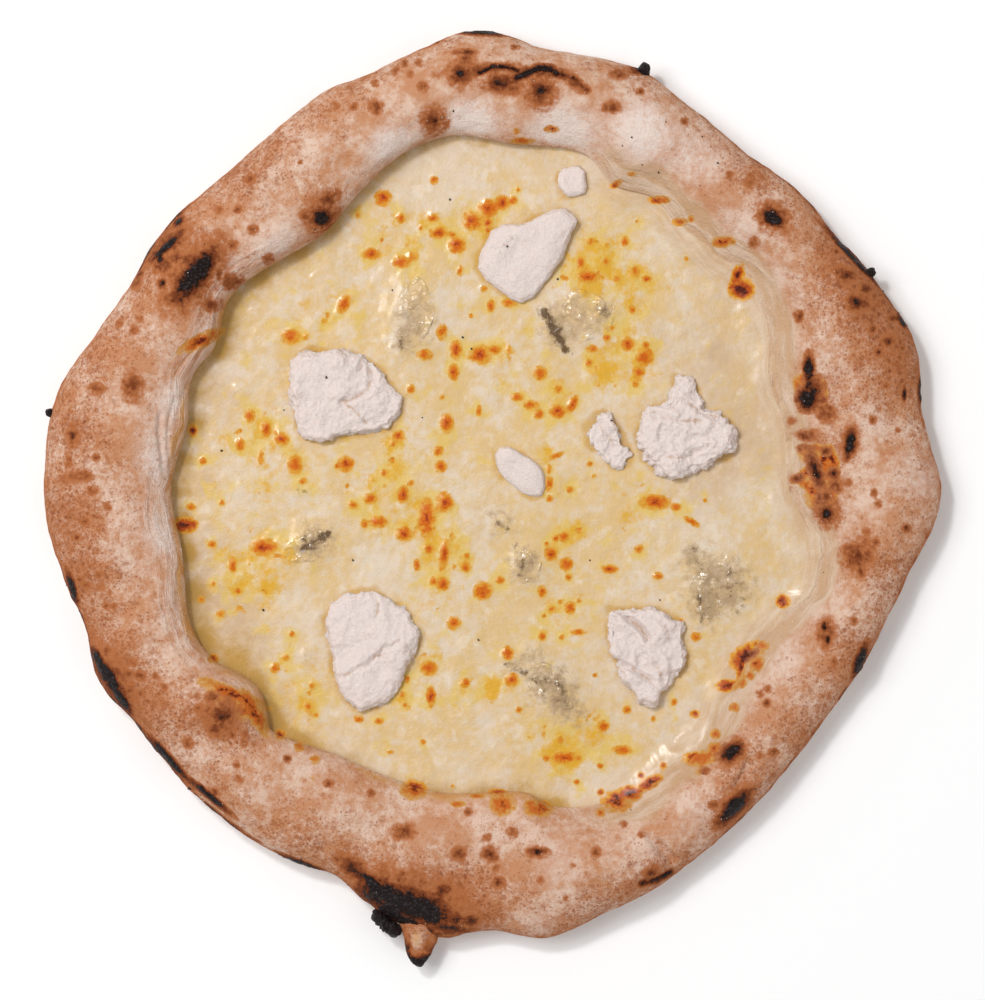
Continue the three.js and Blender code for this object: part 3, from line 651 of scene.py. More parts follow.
# Cracks and creases of the rim: the line of each, its half width in pixels and its depth.
SPLITS = (
    (((482, 72), (493, 66), (509, 67), (516, 71), (533, 69), (551, 69), (557, 74)), 4.0, 1.4),
    (((557, 74), (573, 77), (586, 89)), 4.0, 0.7),
    (((641, 884), (656, 880), (671, 872)), 4.0, 1.1),
    (((650, 836), (662, 848), (672, 860)), 6.0, 1.4),
    (((750, 758), (744, 774), (736, 787)), 5.0, 0.7),
    (((161, 415), (160, 435), (163, 455), (165, 472)), 4.5, 1.6),
    (((176, 398), (170, 420), (168, 446), (172, 476), (176, 500)), 3.0, 1.1),
    (((186, 388), (180, 404), (178, 430)), 3.0, 0.8),
    (((560, 144), (588, 152), (627, 168), (659, 181)), 7.0, 0.5),
    (((757, 347), (768, 352), (770, 366), (762, 376)), 4.0, 0.5),
    (((786, 532), (802, 536), (813, 556), (808, 580), (796, 594)), 4.0, 0.5),
    (((350, 185), (390, 160), (430, 140), (480, 127)), 5.0, 0.5),
)


# ---------------- meshes


@dataclass
class PackedBox:
    """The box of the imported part, in millimetres, which no dressed point leaves."""

    low: Array
    high: Array

    def hold(self, points: Array) -> Array:
        """The points, with any that stand outside the box brought back to it."""
        return np.clip(points, self.low, self.high)


BOX = PackedBox(np.full(3, -FAR_AWAY), np.full(3, FAR_AWAY))
WELD_REACH = 0.01


def put_in_scene(name: str, data: bpy.types.ID) -> Piece:
    """A new object at the origin.

    Args:
        name: the object's name.
        data: its mesh, lamp or camera.

    Returns:
        The object, linked to the scene.
    """
    made = bpy.data.objects.new(name, data)
    bpy.context.scene.collection.objects.link(made)
    return made


def new_piece(name: str, points: Array, faces: Sequence[Sequence[int]]) -> Piece:
    """A smooth-shaded object at the origin from points in millimetres.

    Args:
        name: the piece's name.
        points: its vertices, one row each.
        faces: vertex numbers of each face, counter-clockwise from outside.

    Returns:
        The new object, linked to the scene.
    """
    mesh = bpy.data.meshes.new(name)
    places = [tuple(point) for point in (BOX.hold(points) * MM).tolist()]
    mesh.from_pydata(places, [], faces)
    mesh.shade_smooth()
    mesh.update()
    return put_in_scene(name, mesh)


def give_fields(piece: Piece, **fields: Array) -> None:
    """Stores values for each vertex, for the piece's material to read.

    Args:
        piece: the piece.
        fields: the values of each field by name.
    """
    for name, values in fields.items():
        attribute = piece.data.attributes.new(name, "FLOAT", "POINT")
        attribute.data.foreach_set("value", values.astype(np.float32).ravel())


def read_rows(items: bpy.types.bpy_prop_collection, name: str) -> Array:
    """Reads three numbers from each of a mesh's items.

    Args:
        items: vertices or normals.
        name: the property that holds the numbers.

    Returns:
        One row for each item.
    """
    flat = np.zeros(len(items) * 3, np.float32)
    items.foreach_get(name, flat)
    return flat.reshape(-1, 3).astype(float)


def points_of(piece: Piece) -> Array:
    """The piece's vertices in millimetres."""
    return read_rows(piece.data.vertices, "co") / MM


def set_points(piece: Piece, points: Array) -> None:
    """Moves the piece's vertices to new places in millimetres."""
    piece.data.vertices.foreach_set("co", (BOX.hold(points) * MM).astype(np.float32).ravel())
    piece.data.update()


def final_mesh(holder: Piece, name: str) -> bpy.types.Mesh:
    """Turns what an object's modifiers make into a plain mesh and removes the object.

    Args:
        holder: the object with its modifiers.
        name: the mesh's name.

    Returns:
        The mesh, smooth-shaded.
    """
    graph = bpy.context.evaluated_depsgraph_get()
    mesh = bpy.data.meshes.new_from_object(holder.evaluated_get(graph))
    mesh.name = name
    bpy.data.objects.remove(holder)
    mesh.shade_smooth()
    return mesh


def voxel_copy(node: Piece, name: str, voxel: float, smoothing: int) -> Piece:
    """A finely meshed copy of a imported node, with the same form.

    Args:
        node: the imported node.
        name: the new piece's name.
        voxel: spacing of the new vertices in millimetres.
        smoothing: how many times the facets are smoothed away.

    Returns:
        The new piece.
    """
    source = node.data.copy()
    rough = put_in_scene(name + "_rough", source)
    steps = (
        ("WELD", {"merge_threshold": WELD_REACH * MM}),
        ("REMESH", {"mode": "VOXEL", "voxel_size": voxel * MM}),
        ("SMOOTH", {"factor": 0.5, "iterations": smoothing}),
    )
    for kind, settings in steps:
        modifier = rough.modifiers.new(kind.lower(), kind)
        for key, value in settings.items():
            setattr(modifier, key, value)
    fine = final_mesh(rough, name)
    bpy.data.meshes.remove(source)
    fine.materials.clear()
    return put_in_scene(name, fine)


def plan_points(node: Piece, spacing: float = 0.8) -> Array:
    """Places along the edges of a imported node, seen from above.

    Args:
        node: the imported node.
        spacing: the longest step between places, in millimetres.

    Returns:
        The x and y of each place in millimetres.
    """
    corners = points_of(node)[:, :2]
    places = []
    for edge in node.data.edges:
        first, last = corners[edge.vertices[0]], corners[edge.vertices[1]]
        steps = max(1, int(np.hypot(*(last - first)) / spacing))
        places.extend(mix(first, last, step / steps) for step in range(steps))
    return np.unique(np.round(np.array(places), 1), axis=0)


def pebble(name: str, detail: int) -> tuple[Piece, Array]:
    """A ball of radius one millimetre to be shaped.

    Args:
        name: the piece's name.
        detail: how many times the ball's faces are split.

    Returns:
        The piece and its points.
    """
    bpy.ops.mesh.primitive_ico_sphere_add(subdivisions=detail, radius=MM)
    piece = bpy.context.object
    piece.name = piece.data.name = name
    piece.data.shade_smooth()
    return piece, points_of(piece)


def turned(points: Array, degrees: float) -> Array:
    """Points turned about the upright axis.

    Args:
        points: places, one row each.
        degrees: how far they turn, counter-clockwise from above.

    Returns:
        The turned points.
    """
    cosine, sine = heading(degrees)
    x = points[:, 0] * cosine - points[:, 1] * sine
    y = points[:, 0] * sine + points[:, 1] * cosine
    return np.stack([x, y, points[:, 2]], axis=1)


def quads(row_count: int, column_count: int, closed: bool) -> list[tuple[int, ...]]:
    """Faces between the rows of a grid of vertices.

    Args:
        row_count: rows of the grid.
        column_count: vertices in each row.
        closed: whether the last column joins the first.

    Returns:
        The vertex numbers of each face.
    """
    made = []
    for row in range(row_count - 1):
        low, high = row * column_count, (row + 1) * column_count
        for column in range(column_count if closed else column_count - 1):
            following = (column + 1) % column_count
            made.append((low + column, low + following, high + following, high + column))
    return made


# ---------------- shader wiring


@dataclass(frozen=True)
class Signal:
    """An output in a node tree that is added to, taken away or multiplied as a number is."""

    wiring: Wiring
    socket: bpy.types.NodeSocket

    def __add__(self, other: Signal | float) -> Signal:
        """This signal and another value together."""
        return self.wiring.sum("ADD", self, other)

    def __sub__(self, other: Signal | float) -> Signal:
        """This signal less another value."""
        return self.wiring.sum("SUBTRACT", self, other)

    def __rsub__(self, other: float) -> Signal:
        """A number less this signal."""
        return self.wiring.sum("SUBTRACT", other, self)

    def __mul__(self, other: Signal | float) -> Signal:
        """This signal times another value."""
        return self.wiring.sum("MULTIPLY", self, other)

    def __truediv__(self, other: float) -> Signal:
        """This signal shared out by a number."""
        return self.wiring.sum("DIVIDE", self, other)

    def most(self, other: Signal | float) -> Signal:
        """The larger of this signal and another value."""
        return self.wiring.sum("MAXIMUM", self, other)

    def least(self, other: Signal | float) -> Signal:
        """The smaller of this signal and another value."""
        return self.wiring.sum("MINIMUM", self, other)


Inputs = dict[str | int, object]


class Wiring:
    """Adds nodes to a shader or geometry tree and joins them."""

    def __init__(self, tree: Tree) -> None:
        """Starts on an empty tree."""
        self.tree = tree
        tree.nodes.clear()

    def feed(self, node: bpy.types.Node, inputs: Inputs) -> None:
        """Joins signals to a node's inputs, or sets them to plain values.

        Args:
            node: the node.
            inputs: a signal, number or colour for each input, by its name or number.
        """
        for key, value in inputs.items():
            socket = node.inputs[key]
            if isinstance(value, Signal):
                self.tree.links.new(value.socket, socket)
            elif socket.type == "RGBA":
                socket.default_value = (*value, 1.0)
            else:
                socket.default_value = value

    def node(self, kind: str, inputs: Inputs | None = None, **options: object) -> bpy.types.Node:
        """A new node.

        Args:
            kind: the node's type.
            inputs: what its inputs are fed.
            options: its own settings.

        Returns:
            The node.
        """
        made = self.tree.nodes.new(kind)
        for key, value in options.items():
            setattr(made, key, value)
        self.feed(made, inputs or {})
        return made

    def signals(self, node: bpy.types.Node) -> dict[str, Signal]:
        """The outputs of a node by name."""
        return {socket.name: Signal(self, socket) for socket in node.outputs if socket.name}

    def signal(
        self, output: str | int, kind: str, inputs: Inputs | None = None, **options: object
    ) -> Signal:
        """One output of a new node, which is given as `node` takes it."""
        return Signal(self, self.node(kind, inputs, **options).outputs[output])

    def place(self) -> Signal:
        """The place on the object."""
        return self.signal("Object", "ShaderNodeTexCoord")

    def field(self, name: str) -> Signal:
        """A value that the mesh holds for each vertex."""
        return self.signal("Fac", "ShaderNodeAttribute", attribute_name=name)

    def noise(self, size: float, detail: float, rough: float) -> Signal:
        """Noise from 0 to 1 whose lumps are about `size` millimetres wide.

        Args:
            size: width of the lumps.
            detail: how many finer sizes are mixed in.
            rough: strength of each size against the one before.

        Returns:
            The noise.
        """
        inputs = {
            "Vector": self.place(), "Scale": 0.5 / (size * MM),
            "Detail": detail, "Roughness": rough,
        }
        return self.signal("Fac", "ShaderNodeTexNoise", inputs)

    def wave(self, size: float, detail: float, rough: float, strength: float) -> Signal:
        """Noise as `noise` makes it, but centred on 0 and scaled."""
        return (self.noise(size, detail, rough) - 0.5) * strength

    def sum(self, operation: str, first: Signal | float, second: Signal | float) -> Signal:
        """One step of arithmetic."""
        return self.signal(0, "ShaderNodeMath", {0: first, 1: second}, operation=operation)

    def step(self, value: Signal, low: float, high: float) -> Signal:
        """0 below low, 1 above high and smooth between."""
        inputs = {"Value": value, "From Min": low, "From Max": high}
        return self.signal("Result", "ShaderNodeMapRange", inputs, interpolation_type="SMOOTHSTEP")

    def blend(self, share: Signal, first: Signal | Colour, second: Signal | Colour) -> Signal:
        """A colour at a share of the way between two colours."""
        inputs = {"Factor": share, "A": first, "B": second}
        return self.signal("Result", "ShaderNodeMix", inputs, data_type="RGBA")

    def flecks(self, size: float, crowd: Signal) -> Signal:
        """Round uneven flecks strewn over the surface.

        Args:
            size: how far apart they lie, in millimetres.
            crowd: how large they are, from about 0.1 for few to 0.6 where they run together.

        Returns:
            The flecks, from 0 to 1.
        """
        inputs = {"Vector": self.place(), "Scale": 1.0 / (size * MM)}
        distance = self.signal("Distance", "ShaderNodeTexVoronoi", inputs)
        uneven = self.noise(0.6 * size, 3.0, 0.65) * 1.1
        return self.step(crowd + uneven - distance, 0.4, 0.6)

    def streaks(self, name: str, width: float, length: float) -> Signal:
        """Noise drawn out into streaks that run along the folds.

        Args:
            name: the field that holds the distance across the folds, in millimetres.
            width: how wide the streaks are, in millimetres.
            length: how long they are, in millimetres.

        Returns:
            The streaks, from 0 to 1.
        """
        parts = self.signals(self.node("ShaderNodeSeparateXYZ", {"Vector": self.place()}))
        along = 2 * length * MM
        spot = {
            "X": self.field(name) / (2 * width), "Y": parts["X"] / along, "Z": parts["Y"] / along,
        }
        vector = self.signal("Vector", "ShaderNodeCombineXYZ", spot)
        inputs = {"Vector": vector, "Scale": 1.0, "Detail": 4.0, "Roughness": 0.6}
        return self.step(self.signal("Fac", "ShaderNodeTexNoise", inputs), 0.4, 0.66)

    def relief(self, height: Signal, depth: float) -> Signal:
        """The normal that a height from 0 to 1 gives at a depth in millimetres."""
        inputs = {"Strength": 1.0, "Distance": depth * MM, "Height": height}
        return self.signal("Normal", "ShaderNodeBump", inputs)

    def group(self, tree: Tree, **values: Signal | float | Colour) -> dict[str, Signal]:
        """Places a shared effect with its inputs and gives its outputs by name."""
        return self.signals(self.node("ShaderNodeGroup", values, node_tree=tree))


class Socket(Enum):
    """Kinds of input and output of a node group."""

    NUMBER = "NodeSocketFloat"
    WHOLE = "NodeSocketInt"
    COLOUR = "NodeSocketColor"
    SHAPE = "NodeSocketGeometry"
    FINISH = "NodeSocketMaterial"


Group = tuple[Wiring, dict[str, Signal], bpy.types.Node]


def start_group(
    name: str, kind: str, inputs: dict[str, Socket], outputs: dict[str, Socket]
) -> Group:
    """Starts a node group.

    Args:
        name: the group's name.
        kind: the type of its tree.
        inputs: the kind of each input by name.
        outputs: the kind of each output by name.

    Returns:
        The wiring of the group, its inputs as signals and its output node.
    """
    tree = bpy.data.node_groups.new(name, kind)
    for way, sockets in (("INPUT", inputs), ("OUTPUT", outputs)):
        for key, socket in sockets.items():
            tree.interface.new_socket(key, in_out=way, socket_type=socket.value)
    wiring = Wiring(tree)
    given = wiring.signals(wiring.node("NodeGroupInput"))
    return wiring, given, wiring.node("NodeGroupOutput")


class Effects:
    """The shader effects that several finishes share."""

    def __init__(self) -> None:
        """Builds each effect once."""
        self.mottle = self.make_mottle()
        self.scorch = self.make_scorch()
        self.crumb = self.make_crumb()

    def make_mottle(self) -> Tree:
        """Two colours in soft uneven patches, coarse and fine.

        Returns:
            The group's tree.
        """
        wiring, given, result = start_group(
            "mottle", "ShaderNodeTree",
            {"First": Socket.COLOUR, "Second": Socket.COLOUR, "Bias": Socket.NUMBER},
            {"Color": Socket.COLOUR, "Mask": Socket.NUMBER},
        )
        patches = wiring.noise(7.0, 5.0, 0.65) + wiring.noise(1.4, 3.0, 0.6) * 0.45
        mask = wiring.step(patches + given["Bias"], 0.56, 0.9)
        colour = wiring.blend(mask, given["First"], given["Second"])
        wiring.feed(result, {"Mask": mask, "Color": colour})
        return wiring.tree

    def make_scorch(self) -> Tree:
        """Heat on a surface: a halo, a browned ring and a dark middle with ragged borders.

        Returns:
            The group's tree.
        """
        wiring, given, result = start_group(
            "scorch", "ShaderNodeTree",
            {
                "Base": Socket.COLOUR, "Heat": Socket.NUMBER, "Halo": Socket.COLOUR,
                "Brown": Socket.COLOUR, "Dark": Socket.COLOUR, "Ragged": Socket.NUMBER,
            },
            {"Color": Socket.COLOUR, "Mask": Socket.NUMBER, "Crisp": Socket.NUMBER},
        )
        ragged = wiring.noise(2.0, 4.0, 0.6) + wiring.noise(0.8, 2.0, 0.6) - 1.0
        present = wiring.step(given["Heat"], 0.02, 0.4)
        heat = (given["Heat"] + ragged * given["Ragged"]) * present
        halo = wiring.blend(wiring.step(heat, 0.06, 0.5), given["Base"], given["Halo"])
        brown = wiring.blend(wiring.step(heat, 0.4, 0.84), halo, given["Brown"])
        crisp = wiring.step(heat, 0.84, 1.12)
        colour = wiring.blend(crisp, brown, given["Dark"])
        mask = wiring.step(heat, 0.2, 0.6)
        wiring.feed(result, {"Color": colour, "Mask": mask, "Crisp": crisp})
        return wiring.tree

    def make_crumb(self) -> Tree:
        """Fine relief of a grainy surface, from coarse grain down to dust.

        Returns:
            The group's tree.
        """
        wiring, given, result = start_group(
            "crumb", "ShaderNodeTree",
            {"Coarse": Socket.NUMBER, "Fine": Socket.NUMBER},
            {"Height": Socket.NUMBER},
        )
        coarse = wiring.noise(1.8, 5.0, 0.6) * given["Coarse"]
        fine = wiring.noise(0.45, 3.0, 0.6) * given["Fine"]
        wiring.feed(result, {"Height": coarse + fine})
        return wiring.tree


def srgb(red: int, green: int, blue: int) -> Colour:
    """A colour given in display values, as linear light."""
    parts = (part / 255.0 for part in (red, green, blue))
    return tuple(p / 12.92 if p <= 0.04045 else ((p + 0.055) / 1.055) ** 2.4 for p in parts)


def finish_material(name: str) -> tuple[Material, Wiring, bpy.types.Node]:
    """A new material with its Principled shader joined to the output.

    Args:
        name: the material's name.

    Returns:
        The material, its wiring and its shader.
    """
    material = bpy.data.materials.new(name)
    material.use_nodes = True
    wiring = Wiring(material.node_tree)
    shader = wiring.node("ShaderNodeBsdfPrincipled")
    surface = Signal(wiring, shader.outputs["BSDF"])
    wiring.node("ShaderNodeOutputMaterial", {"Surface": surface})
    return material, wiring, shader


# ---------------- finishes


@dataclass(frozen=True)
class CrustFinish:
    """Baked dough: floury where it was shielded, toasted and charred outside."""

    pale: Colour = srgb(220, 190, 170)
    tan: Colour = srgb(194, 138, 102)
    toasted: Colour = srgb(172, 103, 60)
    freckle: Colour = srgb(152, 86, 46)
    deep: Colour = srgb(118, 58, 28)
    char: Colour = srgb(30, 20, 18)
    # Grey specks on the char: partly ashes, partly painted sheen of the char's grey glints.
    ash_and_sheen: Colour = srgb(84, 76, 80)
    flour: Colour = srgb(226, 208, 198)
    film: Colour = srgb(196, 161, 126)
    ember: Colour = srgb(192, 98, 34)
    wine: Colour = srgb(96, 28, 12)
    # Yellow-brown of the inner lip: partly cheese staining, partly painted shade of the shadowed
    # wall; also the red scorch's halo.
    stained_and_shaded: Colour = srgb(198, 142, 70)
    streak: Colour = srgb(226, 206, 188)
    pleat_width: float = 0.8
    pleat_length: float = 9.0
    crease_width: float = 1.5
    crease_length: float = 10.0
    freckle_sizes: tuple[tuple[float, float], ...] = ((3.4, 0.45), (1.5, 0.6), (0.8, 0.65))
    deep_freckle_size: float = 2.3
    dry_roughness: float = 0.85
    specular: float = 0.14
    relief_depth: float = 0.6

    def build(self, effects: Effects) -> Material:
        """The crust's material, which reads the burn, toast, flour, film, ember and fold fields.

        Args:
            effects: the shared shader effects.

        Returns:
            The material.
        """
        material, wiring, shader = finish_material("crust_baked")
        noise, field, step, blend = wiring.noise, wiring.field, wiring.step, wiring.blend
        ground = wiring.group(effects.mottle, First=self.pale, Second=self.tan, Bias=0.03)
        uneven = noise(5.0, 5.0, 0.7) - 0.5
        toast = field("toast") + uneven * 1.8
        baked = step(toast + wiring.wave(0.7, 3.0, 0.7, 1.6), 0.05, 1.45) * 0.92
        colour = blend(baked, ground["Color"], self.toasted)
        dusted = field("flour") * noise(1.1, 5.0, 0.75)
        colour = blend(step(dusted, 0.1, 0.62), colour, self.flour)
        crowd = toast.least(0.75) * 0.36 - field("flour") * 0.12
        for size, strength in self.freckle_sizes:
            colour = blend(wiring.flecks(size, crowd) * strength, colour, self.freckle)
        crowd = toast * 0.34 - 0.16
        colour = blend(wiring.flecks(self.deep_freckle_size, crowd) * 0.5, colour, self.deep)
        film = step(field("film") + uneven * 0.9, 0.1, 0.95)
        colour = blend(film * 0.85, colour, self.film)
        creases = wiring.streaks("fold", self.crease_width, self.crease_length) * film
        colour = blend(creases * 0.5, colour, self.streak)
        # Band on the left and lower inner lip: partly cheese staining, partly painted shade.
        stain_and_shade = step(field("stain_and_shade") + uneven, 0.2, 1.1)
        colour = blend(stain_and_shade * 0.75, colour, self.stained_and_shaded)
        # Grey specks strewn on the char: partly ashes, partly painted sheen.
        ash_and_sheen_specks = step(noise(0.6, 3.0, 0.7), 0.5, 0.66) * 0.5
        ember = wiring.group(
            effects.scorch, Base=colour, Heat=field("ember"),
            Halo=self.stained_and_shaded, Brown=self.ember, Dark=self.wine, Ragged=0.9,
        )
        burn = wiring.group(
            effects.scorch, Base=ember["Color"], Heat=field("burn"), Halo=self.toasted,
            Brown=self.deep, Dark=blend(ash_and_sheen_specks, self.char, self.ash_and_sheen), Ragged=0.75,
        )
        pleats = wiring.streaks("fold", self.pleat_width, self.pleat_length) * field("pleated")
        pleats = pleats * (1.0 - burn["Mask"].most(ember["Mask"]))
        crumb = wiring.group(effects.crumb, Coarse=0.7, Fine=0.5)
        height = crumb["Height"] + burn["Crisp"] * noise(1.0, 4.0, 0.7) * 3.2
        height = height + pleats * 0.5 + creases * 0.6
        wiring.feed(shader, {
            "Base Color": blend(pleats * 0.55, burn["Color"], self.flour),
            "Roughness": self.dry_roughness - film * 0.58 - burn["Crisp"] * 0.4,
            "Specular IOR Level": self.specular,
            "Normal": wiring.relief(height, self.relief_depth),
        })
        return material


@dataclass(frozen=True)
class MeltFinish:
    """Melted cheese: cream to yellow, with golden-brown blisters and grey haze."""

    cream: Colour = srgb(218, 199, 176)
    butter: Colour = srgb(215, 182, 128)
    yellow: Colour = srgb(216, 164, 46)
    pool: Colour = srgb(202, 173, 140)
    gold: Colour = srgb(214, 150, 42)
    amber: Colour = srgb(204, 100, 2)
    brown: Colour = srgb(156, 52, 3)
    haze: Colour = srgb(174, 146, 110)
    vein: Colour = srgb(104, 78, 48)
    # Brownish colour of the melt by the lip: partly oil staining, partly painted shadow under the
    # lip.
    stain_and_shade: Colour = srgb(186, 144, 72)
    white: Colour = srgb(232, 218, 200)
    oil: Colour = srgb(218, 184, 96)
    # Colour of the ring round each curd: partly pooled oil, partly painted contact shade.
    pooled_oil_and_shade: Colour = srgb(194, 148, 62)
    ember: Colour = srgb(176, 74, 14)
    wine: Colour = srgb(80, 22, 8)
    lapped: Colour = srgb(200, 167, 132)
    crease_width: float = 1.5
    crease_length: float = 10.0
    specular: float = 0.14
    coat_roughness: float = 0.16
    dry_roughness: float = 0.42
    relief_depth: float = 0.55

    def build(self, effects: Effects) -> Material:
        """The melt's material, which reads each of the melt's colour fields.

        Args:
            effects: the shared shader effects.

        Returns:
            The material.
        """
        material, wiring, shader = finish_material("cheese_melted")
        noise, wave, field = wiring.noise, wiring.wave, wiring.field
        step, blend = wiring.step, wiring.blend
        ground = wiring.group(effects.mottle, First=self.cream, Second=self.butter, Bias=0.03)
        uneven = wave(3.6, 4.0, 0.65, 1.5)
        colour = blend(step(field("pool") + uneven, 0.1, 1.2), ground["Color"], self.pool)
        colour = blend(step(field("cream") + uneven, 0.1, 1.2), colour, self.cream)
        oily = (field("glow") + field("yellow") * 0.9) * 0.22
        oily = noise(4.2, 4.0, 0.6) + oily - field("cream") * 0.12
        colour = blend(step(oily, 0.56, 0.76) * 0.85, colour, self.oil)
        blobs = noise(3.0, 3.0, 0.55) + field("cream") * 0.06
        colour = blend(step(blobs, 0.58, 0.74) * 0.4, colour, self.white)
        yellow = field("yellow") + field("glow") * 0.5 + wave(2.4, 4.0, 0.66, 3.2)
        colour = blend(step(yellow, 0.5, 1.4), colour, self.yellow)
        haze = step(field("haze") + wave(1.9, 5.0, 0.7, 3.6), 0.2, 1.5)
        colour = blend(haze * step(field("haze"), 0.0, 0.4), colour, self.haze)
        vein = step(field("vein") + wave(1.2, 4.0, 0.66, 2.4), 0.45, 1.1)
        colour = blend(vein * step(field("vein"), 0.0, 0.3), colour, self.vein)
        lapped = step(field("lapped"), 0.0, 1.0)
        colour = blend(lapped, colour, self.lapped)
        creases = wiring.streaks("fold", self.crease_width, self.crease_length) * lapped
        colour = blend(creases * 0.4, colour, self.white)
        # Ring round the curds: partly pooled oil, partly painted contact shade.
        rings = step(field("oil") + uneven * 0.6, 0.2, 1.1)
        colour = blend(rings * 0.7, colour, self.pooled_oil_and_shade)
        # Brownish band by the lip and listed patches: partly staining, partly painted shadow.
        colour = blend(step(field("stain_and_shade") + uneven, 0.2, 1.2), colour, self.stain_and_shade)
        golden = wiring.group(
            effects.scorch, Base=colour, Heat=field("golden"),
            Halo=self.gold, Brown=self.amber, Dark=self.brown, Ragged=0.85,
        )
        scorched = wiring.group(
            effects.scorch, Base=golden["Color"], Heat=field("ember"),
            Halo=self.gold, Brown=self.ember, Dark=self.wine, Ragged=0.9,
        )
        wet = step(field("haze") + noise(5.0, 5.0, 0.7), 0.32, 0.66)
        browned = golden["Mask"].most(scorched["Mask"])
        dry = (browned * 0.8).most(lapped * 0.85)
        crumb = wiring.group(effects.crumb, Coarse=0.85, Fine=0.2)
        lumps = noise(1.5, 4.0, 0.7) * step(field("haze"), 0.0, 0.7)
        knobs = (noise(0.9, 4.0, 0.7) * golden["Mask"] - golden["Mask"]) * 0.5
        wiring.feed(shader, {
            "Base Color": scorched["Color"],
            "Roughness": self.dry_roughness - wet * 0.2,
            "Specular IOR Level": self.specular,
            "Coat Weight": (wet * 0.6 + 0.15) * (1.0 - dry),
            "Coat Roughness": self.coat_roughness,
            "Normal": wiring.relief(crumb["Height"] + (lumps + knobs), self.relief_depth),
        })
        return material


@dataclass(frozen=True)
class CurdFinish:
    """White curd: matt, moist and crumbly."""

    white: Colour = srgb(227, 213, 207)
    shade: Colour = srgb(206, 184, 170)
    tan: Colour = srgb(190, 150, 112)
    roughness: float = 0.62
    specular: float = 0.35
    glow_share: float = 0.6
    glow_colour: Triple = (1.0, 0.9, 0.8)
    glow_depth: float = 1.6
    relief_depth: float = 0.65

    def build(self, effects: Effects) -> Material:
        """The curd's material, which reads the crack field.

        Args:
            effects: the shared shader effects.

        Returns:
            The material.
        """
        material, wiring, shader = finish_material("curd_white")
        ground = wiring.group(effects.mottle, First=self.white, Second=self.shade, Bias=-0.35)
        crack = wiring.field("crack") + wiring.wave(1.6, 3.0, 0.65, 1.6)
        crack = wiring.step(crack, 0.65, 1.15) * 0.6
        crumb = wiring.group(effects.crumb, Coarse=0.55, Fine=0.7)
        wiring.feed(shader, {
            "Base Color": wiring.blend(crack, ground["Color"], self.tan),
            "Roughness": self.roughness,
            "Specular IOR Level": self.specular,
            "Subsurface Weight": self.glow_share,
            "Subsurface Radius": self.glow_colour,
            "Subsurface Scale": self.glow_depth * MM,
            "Normal": wiring.relief(crumb["Height"], self.relief_depth),
        })
        return material


@dataclass(frozen=True)
class SpeckFinish:
    """Small loose things: pepper, burnt flakes or flour."""

    name: str
    light: Colour
    dark: Colour
    roughness: float
    relief_depth: float = 0.2

    def build(self, effects: Effects) -> Material:
        """The specks' material.

        Args:
            effects: the shared shader effects.

        Returns:
            The material.
        """
        material, wiring, shader = finish_material(self.name)
        ground = wiring.group(effects.mottle, First=self.light, Second=self.dark, Bias=0.0)
        crumb = wiring.group(effects.crumb, Coarse=0.3, Fine=0.7)
        wiring.feed(shader, {
            "Base Color": ground["Color"],
            "Roughness": self.roughness,
            "Normal": wiring.relief(crumb["Height"], self.relief_depth),
        })
        return material


# ---------------- the baked dough


@dataclass(frozen=True)
class Mound:
    """An oval rise or dent: place, length, width, turn of the length, rise."""

    x: float
    y: float
    length: float
    width: float
    turn: float
    rise: float

    def height_at(self, x: Array, y: Array) -> Array:
        """The height that it adds.

        Args:
            x: x of each place.
            y: y of each place.

        Returns:
            The height at each place.
        """
        cosine, sine = heading(self.turn)
        along = ((x - self.x) * cosine + (y - self.y) * sine) / (self.length / 2)
        across = ((y - self.y) * cosine - (x - self.x) * sine) / (self.width / 2)
        return self.rise * np.exp(-(along**2 + across**2))


